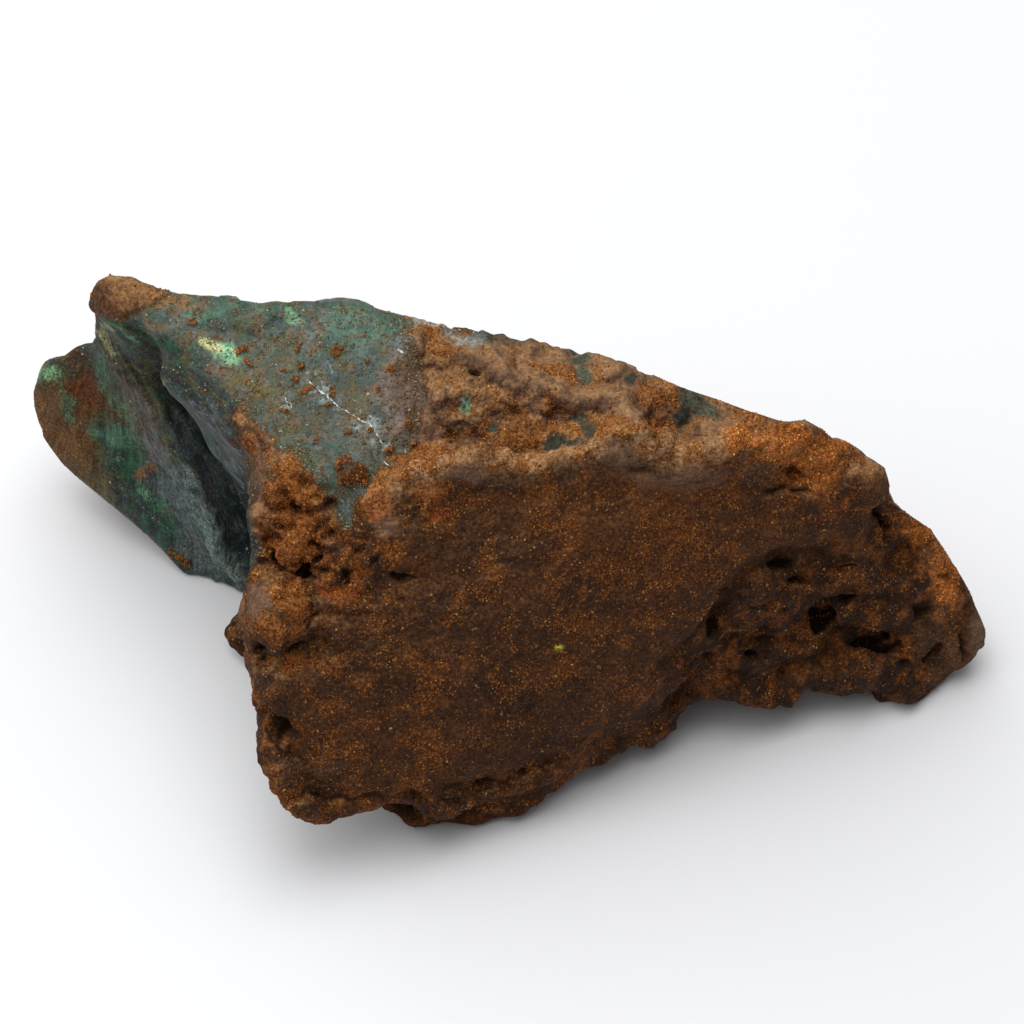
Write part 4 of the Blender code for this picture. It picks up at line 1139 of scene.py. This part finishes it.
# %% [markdown]
# Sand is not one colour. Most grains are rusty brown, fewer are amber, and one in a hundred is so
# pale that it catches the eye. A ramp in plain steps hands out those tints, and on the green face
# a second ramp gives duller, greener ones.

# %% Tints for the grains
GRAIN_TINTS = [
    (0.0, paint(84, 42, 12)), (0.30, paint(124, 70, 22)), (0.66, paint(160, 98, 36)),
    (0.93, paint(190, 134, 66)), (0.99, paint(208, 164, 96)),
]
GREEN_TINTS = [
    (0.0, paint(84, 78, 50)), (0.20, paint(110, 90, 44)), (0.62, paint(120, 124, 92)),
    (0.86, paint(140, 160, 136)), (0.975, paint(206, 210, 180)),
]


def tints(value, stops_wanted):
    """A ramp that gives each grain its own tint, in steps from dark to pale."""
    ramp = node("ShaderNodeValToRGB")
    feed(ramp.inputs[0], value)
    ramp.color_ramp.interpolation = "CONSTANT"
    stops = ramp.color_ramp.elements
    while len(stops) < len(stops_wanted):
        stops.new(0.5)
    for stop, (place, tint) in zip(stops, stops_wanted):
        stop.position = place
        stop.color = (*tint, 1.0)
    return ramp.outputs[0]


print(len(GRAIN_TINTS), "tints on the crust,", len(GREEN_TINTS), "on the green")

# %% Strew grains by the sand mask
bare = layer("bare")
patches = spread_to(noise_of(0.9), 0.38, 0.62, 0.2, 2.5)
local_sand = times(layer("sand"), patches)
FINE = 0.12  # mm from grain to grain
COARSE = 0.20


def grains(size_mm, share):
    """Grains of one size: a mask with a round dome on each grain, and the grains' tints."""
    distance, lot, tint = cells_of(size_mm)
    chosen = maths("LESS_THAN", lot, times(local_sand, share))
    dome = spread_to(distance, 0.30, 0.65, 1.0, 0.0)
    both = mixed(bare, tints(tint, GRAIN_TINTS), tints(tint, GREEN_TINTS))
    return times(chosen, dome), both


fine_grain, fine_tint = grains(FINE, 0.9)
coarse_grain, coarse_tint = grains(COARSE, 0.42)
print("grains of", FINE, "and", COARSE, "mm strewn")

# %% [markdown]
# The crust is no even coat either. Its sand is cemented in clods half a millimetre wide, with
# painted shade in the gaps between them. Cells do for clods as they do for grains, but straight cell
# walls would look like paving, so the place where they are read is bent by a little noise first.

# %% Gather the crust in clods
CLOD = 0.46  # mm from clod to clod
BEND = 0.35  # mm that their walls are bent by
bent = node("ShaderNodeVectorMath", operation="MULTIPLY_ADD")
feed(bent.inputs[0], noise_of(BEND, 2.0, 0.5, output="Color"))
feed(bent.inputs[1], (BEND * MM,) * 3)
feed(bent.inputs[2], where)
clod_edge = cells_of(CLOD, bent.outputs[0])[0]
clods_here = layer("clods")
clod_gap_shade = times(spread_to(clod_edge, 0.38, 0.62, 0.0, 1.0), clods_here)
clod_dome = times(spread_to(clod_edge, 0.1, 0.65, 1.0, 0.0), clods_here)
print("clods of about", CLOD, "mm")

# %% [markdown]
# Under and between the grains the stone is mottled by dirt, coarse and fine. Beneath the beak its
# fibres show as fine lines that bend with the folds. Plain noise can't follow a bend, so this
# noise is read in the fan's own terms: across by angle, along by distance from the beak.

# %% Mottle the stone, and draw fine lines along the folds
grime = noise_of(0.22)
broad_grime = noise_of(1.1)
busy = ranged(layer("calm"), 1.0, 0.5)
speckle = times(maths("SUBTRACT", swung(grime, 0.6, 1.45), 1.0), busy)
shade = times(plus(speckle, 1.0), swung(broad_grime, 0.78, 1.22))
FIBRES = 130.0  # fine lines for each radian of the fan
FIBRE_RUN = 0.5  # changes along a line for each mm of it
along_folds = node("ShaderNodeCombineXYZ")
feed(along_folds.inputs[0], times(layer("fan"), FIBRES * MM))
feed(along_folds.inputs[1], times(layer("reach"), FIBRE_RUN * MM))
fibre = noise_of(1.0, 3.0, 0.65, along_folds.outputs[0])
folded_here = layer("folded")
lines = spread_to(fibre, 0.32, 0.68, 0.55, 1.5)
unfolded = maths("SUBTRACT", 1.0, folded_here)
shade = times(shade, plus(times(lines, folded_here), unfolded))
print("fibres drawn")

# %% Put the colours together
DEEP_CRUST = (0.62, 0.46, 0.28, 1.0)
DEEP_GREEN = (0.62, 0.68, 0.70, 1.0)
deep_cast = mixed(bare, DEEP_CRUST, DEEP_GREEN)
# The stored colour holds the stains together with the painted light and shade.
stained = layer("stain_and_painted_light", "Color")
low = times(spread_to(grime, 0.40, 0.60, 1.0, 0.0), busy)
colour = mixed(low, stained, multiplied(stained, deep_cast))
# Painted shade in the gaps between clods.
colour = mixed(times(clod_gap_shade, 0.65), colour, multiplied(colour, DEEP_CRUST[:3]))
colour = scaled(colour, shade)
sand_tone_and_painted_light = layer("sand_tone_and_painted_light")
# Painted shade under the grains where sand lies thick, less where the grains are brighter.
between = times(spread_to(local_sand, 0.25, 1.0, 0.0, 0.6), ranged(bare, 1.0, 0.2))
between = times(between, spread_to(sand_tone_and_painted_light, DULL, 1.72, 1.0, 0.3))
colour = mixed(between, colour, multiplied(colour, DEEP_CRUST[:3]))
colour = mixed(fine_grain, colour, scaled(fine_tint, sand_tone_and_painted_light))
colour = mixed(coarse_grain, colour, scaled(coarse_tint, sand_tone_and_painted_light))
feed(shader.inputs["Base Color"], colour)
print("colours joined")

# %% [markdown]
# The bare mineral is waxy and its crust is as dull as earth. Both come from one mask that lowers
# the roughness. Relief finer than the net is left to a bump, which only tilts the light. It would
# be too weak for lumps and pits, but a grain of sand asks for no more.

# %% The waxy shine and the fine relief
waxy = layer("polish")
feed(shader.inputs["Roughness"], plus(ranged(waxy, 0.9, 0.42), swung(grime, -0.08, 0.08)))
feed(shader.inputs["Specular IOR Level"], ranged(waxy, 0.22, 0.45))
grain_height = plus(times(fine_grain, 0.5), times(coarse_grain, 0.8))
fibre_height = times(times(fibre, folded_here), 1.2)
grime_height = times(times(grime, busy), ranged(bare, 1.2, 0.7))
clod_height = times(times(clod_dome, busy), 1.5)
fine_height = plus(plus(grime_height, plus(grain_height, fibre_height)), clod_height)
FINE_RELIEF = 0.13  # mm that a height of 1 stands for
bump = node("ShaderNodeBump")
bump.inputs["Strength"].default_value = 1.0
bump.inputs["Distance"].default_value = FINE_RELIEF * MM
feed(bump.inputs["Height"], fine_height)
feed(shader.inputs["Normal"], bump.outputs[0])
print("material has", len(nodes), "nodes")

# %% [markdown]
# ## Four sheets of skin
# One mesh of this size is heavy to handle, so the skin is cut into four sheets that meet edge to
# edge: the green end, the back, the tail and the front. Each keeps the surface directions of the
# whole, so that no seam shows where they meet.

# %% Choose where to cut
GREEN_END_CUT = -14.6
BACK_CUT = 4.6
BACK_CUT_SLOPE = 0.12
TAIL_CUT = 9.0
middles = triples(skin.data.polygons, "center") / MM
is_green_end = middles[:, 0] < GREEN_END_CUT
is_back = ~is_green_end & (middles[:, 1] - BACK_CUT_SLOPE * middles[:, 0] > BACK_CUT)
is_tail = ~is_green_end & ~is_back & (middles[:, 0] > TAIL_CUT)
SHEETS = {
    "green_end": is_green_end, "stone_back": is_back, "stone_tail": is_tail,
    "stone_front": ~is_green_end & ~is_back & ~is_tail,
}
print({name: int(chosen.sum()) for name, chosen in SHEETS.items()}, "faces in the sheets")


# %% Cut the skin into sheets
def dress(piece):
    """Puts a piece into the scene as a part of the stone."""
    show(piece)
    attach(piece, "root")
    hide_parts("stone")


def cut_sheet(name, chosen):
    """A copy of the skin with only the chosen faces, and the whole skin's surface directions."""
    work = bmesh.new()
    work.from_mesh(skin.data)
    number = work.verts.layers.int.new("number")
    for index, vert in enumerate(work.verts):
        vert[number] = index
    spare = [face for face, keep_it in zip(work.faces, chosen) if not keep_it]
    bmesh.ops.delete(work, geom=spare, context="FACES")
    kept = [vert[number] for vert in work.verts]
    mesh = bpy.data.meshes.new(name)
    work.to_mesh(mesh)
    work.free()
    mesh.shade_smooth()
    mesh.normals_split_custom_set_from_vertices(raised_facing[kept].tolist())
    mesh.materials.clear()
    mesh.materials.append(material)
    return bpy.data.objects.new(name, mesh)


for name, chosen in SHEETS.items():
    sheet = cut_sheet(name, chosen)
    dress(sheet)
    print(name, "has", 2 * len(sheet.data.polygons), "triangles")

# %% [markdown]
# ## Loose sand
# Real grains stand proud of the crust and catch the light from the side. Nearly twenty thousand
# small angular grains, set in the skin where the sand mask is strong, do what no shader can at an
# edge. A few hundred coarser crumbs heap up on the lone patches of crust.

# %% The shape and finish of a grain
# Six corners and eight faces, like two pyramids set base to base.
GRAIN_CORNERS = np.array([(1, 0, 0), (-1, 0, 0), (0, 1, 0), (0, -1, 0), (0, 0, 1), (0, 0, -1)])
GRAIN_FACES = np.array([(0, 2, 4), (2, 1, 4), (1, 3, 4), (3, 0, 4), (2, 0, 5), (1, 2, 5),
                        (3, 1, 5), (0, 3, 5)])
SUNK = 0.1  # share of a grain's size that is under the skin
CLEAR_OF_GROUND = 0.02  # mm


def plain_finish(name, colour, roughness):
    """A material of one even colour."""
    finish = bpy.data.materials.new(name)
    finish.use_nodes = True
    surface = finish.node_tree.nodes["Principled BSDF"]
    surface.inputs["Base Color"].default_value = (*colour, 1.0)
    surface.inputs["Roughness"].default_value = roughness
    return finish


print("a grain has", len(GRAIN_FACES), "faces")


# %% Set grains into the skin
def random_turns(count):
    """One random rotation matrix for each grain."""
    quaternion = dice.normal(size=(count, 4))
    w, x, y, z = (quaternion / np.linalg.norm(quaternion, axis=1)[:, None]).T
    rows = [[1 - 2 * (y * y + z * z), 2 * (x * y - z * w), 2 * (x * z + y * w)],
            [2 * (x * y + z * w), 1 - 2 * (x * x + z * z), 2 * (y * z - x * w)],
            [2 * (x * z - y * w), 2 * (y * z + x * w), 1 - 2 * (x * x + y * y)]]
    return np.moveaxis(np.array(rows), 2, 0)


def strew(name, count, size_mm, chance, colour, roughness):
    """Sets count angular grains about size mm across where chance is high."""
    picked = dice.choice(len(points), size=count, replace=False, p=chance / chance.sum())
    size = size_mm * 0.5 * dice.lognormal(0.0, 0.3, size=(count, 1, 1))
    shape = GRAIN_CORNERS * dice.uniform(0.7, 1.25, size=(count, 6, 1)) * size
    shape = np.einsum("nij,nkj->nki", random_turns(count), shape)
    seat = raised[picked] - raised_facing[picked] * size[:, 0] * SUNK
    corners = shape + seat[:, None, :]
    corners[:, :, 2] = np.maximum(corners[:, :, 2], CLEAR_OF_GROUND)
    faces = GRAIN_FACES[None] + (np.arange(count) * 6)[:, None, None]
    mesh = bpy.data.meshes.new(name)
    mesh.from_pydata((corners.reshape(-1, 3) * MM).tolist(), [], faces.reshape(-1, 3).tolist())
    mesh.materials.append(plain_finish(name, colour, roughness))
    dress(bpy.data.objects.new(name, mesh))
    print(name, count, "grains")


print("ready to strew")

# %% Strew the loose grains
above_ground = step(points[:, 2], 0.3, 1.0)
crust_sand = (1 - green) * (1 - 0.6 * broad) * np.clip(sand, 0, 1) ** 2 * above_ground
crust_sand *= (1 - 0.8 * beak_knob) * (1 - 0.5 * wall)
heaps = crumb_mask * 1.2 * (1 - 0.75 * spot(-9.8, 2.6, 1.4, 1.2))
specks = green * (0.012 + 0.05 * step(blotch, 0.1, 0.6)) * (1 - 0.7 * fluted)
BARELY = 1e-9  # so that every point has some chance, however small
strew("rust_sand", 10000, 0.11, crust_sand + specks + heaps, paint(126, 68, 20), 0.8)
strew("amber_sand", 9000, 0.10, crust_sand + 2 * specks + heaps, paint(164, 102, 40), 0.7)
strew("straw_sand", 400, 0.11, crust_sand + specks + 0.02 * (1 - green), paint(196, 152, 90), 0.4)
strew("crust_crumbs", 400, 0.18, 0.02 * crust_sand + 3 * heaps + BARELY, paint(146, 88, 30), 0.9)

# %% [markdown]
# ## Pale threads
# A few scratches and threads of pale mineral cross the green face. They are finer than the net, so
# each is laid as a narrow crooked ribbon that follows the skin. A real thread comes and goes, so
# the ribbon's width does too. Each row is a path on the sheet and a half width.

# %% Where the threads run
THREADS = [
    ([(-12.9, 8.3), (-12.3, 7.8), (-11.6, 7.3), (-10.9, 6.6), (-10.2, 6.2), (-9.4, 5.7),
      (-8.9, 5.5), (-8.5, 4.9), (-8.2, 4.3)], 0.07),
    ([(-11.5, 9.3), (-11.3, 8.9), (-11.35, 8.4)], 0.035), ([(-14.4, 7.3), (-14.1, 6.9)], 0.05),
    ([(-12.1, 8.5), (-11.9, 8.1)], 0.035), ([(-8.1, 3.2), (-7.8, 2.9)], 0.07),
    ([(-9.2, 6.1), (-8.8, 6.0)], 0.03), ([(-8.9, 5.5), (-9.15, 5.1)], 0.03),
    ([(-7.2, 10.2), (-6.8, 10.0)], 0.07), ([(-14.0, 6.9), (-13.8, 6.5)], 0.03),
]
print(len(THREADS), "threads")

# %% Lay the pale threads
RIBBON_STEP = 0.12  # mm along a thread
RIBBON_LIFT = 0.02  # mm above the skin
CROOKED = 0.03  # mm to either side
fine_tree = BVHTree.FromObject(skin, bpy.context.evaluated_depsgraph_get())
ribbon_points, ribbon_faces = [], []
for path, half_width in THREADS:
    for (x0, y0), (x1, y1) in zip(path, path[1:]):
        length = math.hypot(x1 - x0, y1 - y0)
        pieces = max(2, int(length / RIBBON_STEP))
        side = np.array((y0 - y1, x1 - x0)) / length
        for index in range(pieces + 1):
            share = index / pieces
            spot_here = np.array((x0 + (x1 - x0) * share, y0 + (y1 - y0) * share))
            spot_here += side * dice.normal(0.0, CROOKED)
            width = half_width * max(0.0, dice.normal(0.35, 0.45))
            for edge in (-1, 1):
                place, normal = landing(*(spot_here + side * edge * width), fine_tree)
                ribbon_points.append(tuple((place + normal * RIBBON_LIFT) * MM))
            if index:
                last = len(ribbon_points)
                ribbon_faces.append((last - 4, last - 3, last - 1, last - 2))
thread_mesh = bpy.data.meshes.new("pale_threads")
thread_mesh.from_pydata(ribbon_points, [], ribbon_faces)
thread_mesh.materials.append(plain_finish("pale_threads", paint(190, 198, 196), 0.5))
dress(bpy.data.objects.new("pale_threads", thread_mesh))
bpy.data.objects.remove(skin)
print("threads laid in", len(ribbon_faces), "pieces, and the whole skin put away")

# %% [markdown]
# ## The studio
# The stone lies on a plain white sheet under soft light. A lamp nearly a metre wide hangs above,
# to the left and a little behind, a weaker one hangs straight overhead, and the white surroundings
# fill in the front. Wide lamps are what give a shadow its soft edge.

# %% The white sheet
SHEET_WHITE = (0.855, 0.86, 0.875)
floor_mesh = bpy.data.meshes.new("floor")
floor_mesh.from_pydata([(-1, -1, 0), (1, -1, 0), (1, 1, 0), (-1, 1, 0)], [], [(0, 1, 2, 3)])
floor_mesh.materials.append(plain_finish("white_sheet", SHEET_WHITE, 0.7))
floor = show(bpy.data.objects.new("floor", floor_mesh))
print("floor laid")

# %% The lamps
LAMP_AIM = (0.0, 0.0, 12.0)
ROOM_COLOUR = (0.96, 0.975, 1.0, 1.0)
ROOM_STRENGTH = 0.20


def soft_lamp(name, place_mm, size_mm, watts):
    """A square lamp aimed at the stone."""
    lamp_data = bpy.data.lights.new(name, "AREA")
    lamp_data.size = size_mm * MM
    lamp_data.energy = watts
    lamp = show(bpy.data.objects.new(name, lamp_data))
    lamp.location = Vector(place_mm) * MM
    aim = Vector(LAMP_AIM) * MM - lamp.location
    lamp.rotation_euler = aim.to_track_quat("-Z", "Y").to_euler()


soft_lamp("wide_lamp", place_mm=(-190, 80, 430), size_mm=900, watts=3.75)
soft_lamp("ceiling_lamp", place_mm=(0, 0, 470), size_mm=350, watts=0.72)
surroundings = bpy.data.worlds.new("white_room")
surroundings.use_nodes = True
room = surroundings.node_tree.nodes["Background"]
room.inputs["Color"].default_value = ROOM_COLOUR
room.inputs["Strength"].default_value = ROOM_STRENGTH
bpy.context.scene.world = surroundings
bpy.context.scene.view_settings.view_transform = "Standard"
print("lit by two lamps and a white room")

# %% [markdown]
# A small stone is looked at from near, but a near camera bends its shape. So the camera stands
# well back at the eye point of the sheet, and a long lens brings the stone close. It looks
# straight through the sheet, so what was placed there shows in its place.

# %% The camera
LENS_LENGTH = 200.0  # this and all below in mm
SENSOR_WIDTH = 36.0
NEAREST = 10.0
FARTHEST = 10000.0
lens = bpy.data.cameras.new("close_up")
lens.lens = LENS_LENGTH
lens.sensor_width = SENSOR_WIDTH
lens.clip_start = NEAREST * MM
lens.clip_end = FARTHEST * MM
camera = show(bpy.data.objects.new("camera", lens))
camera.location = Vector(EYE) * MM
camera.rotation_euler = Vector(-SIGHT).to_track_quat("-Z", "Y").to_euler()
bpy.context.scene.camera = camera
print("camera", EYE_DISTANCE, "mm from the stone")
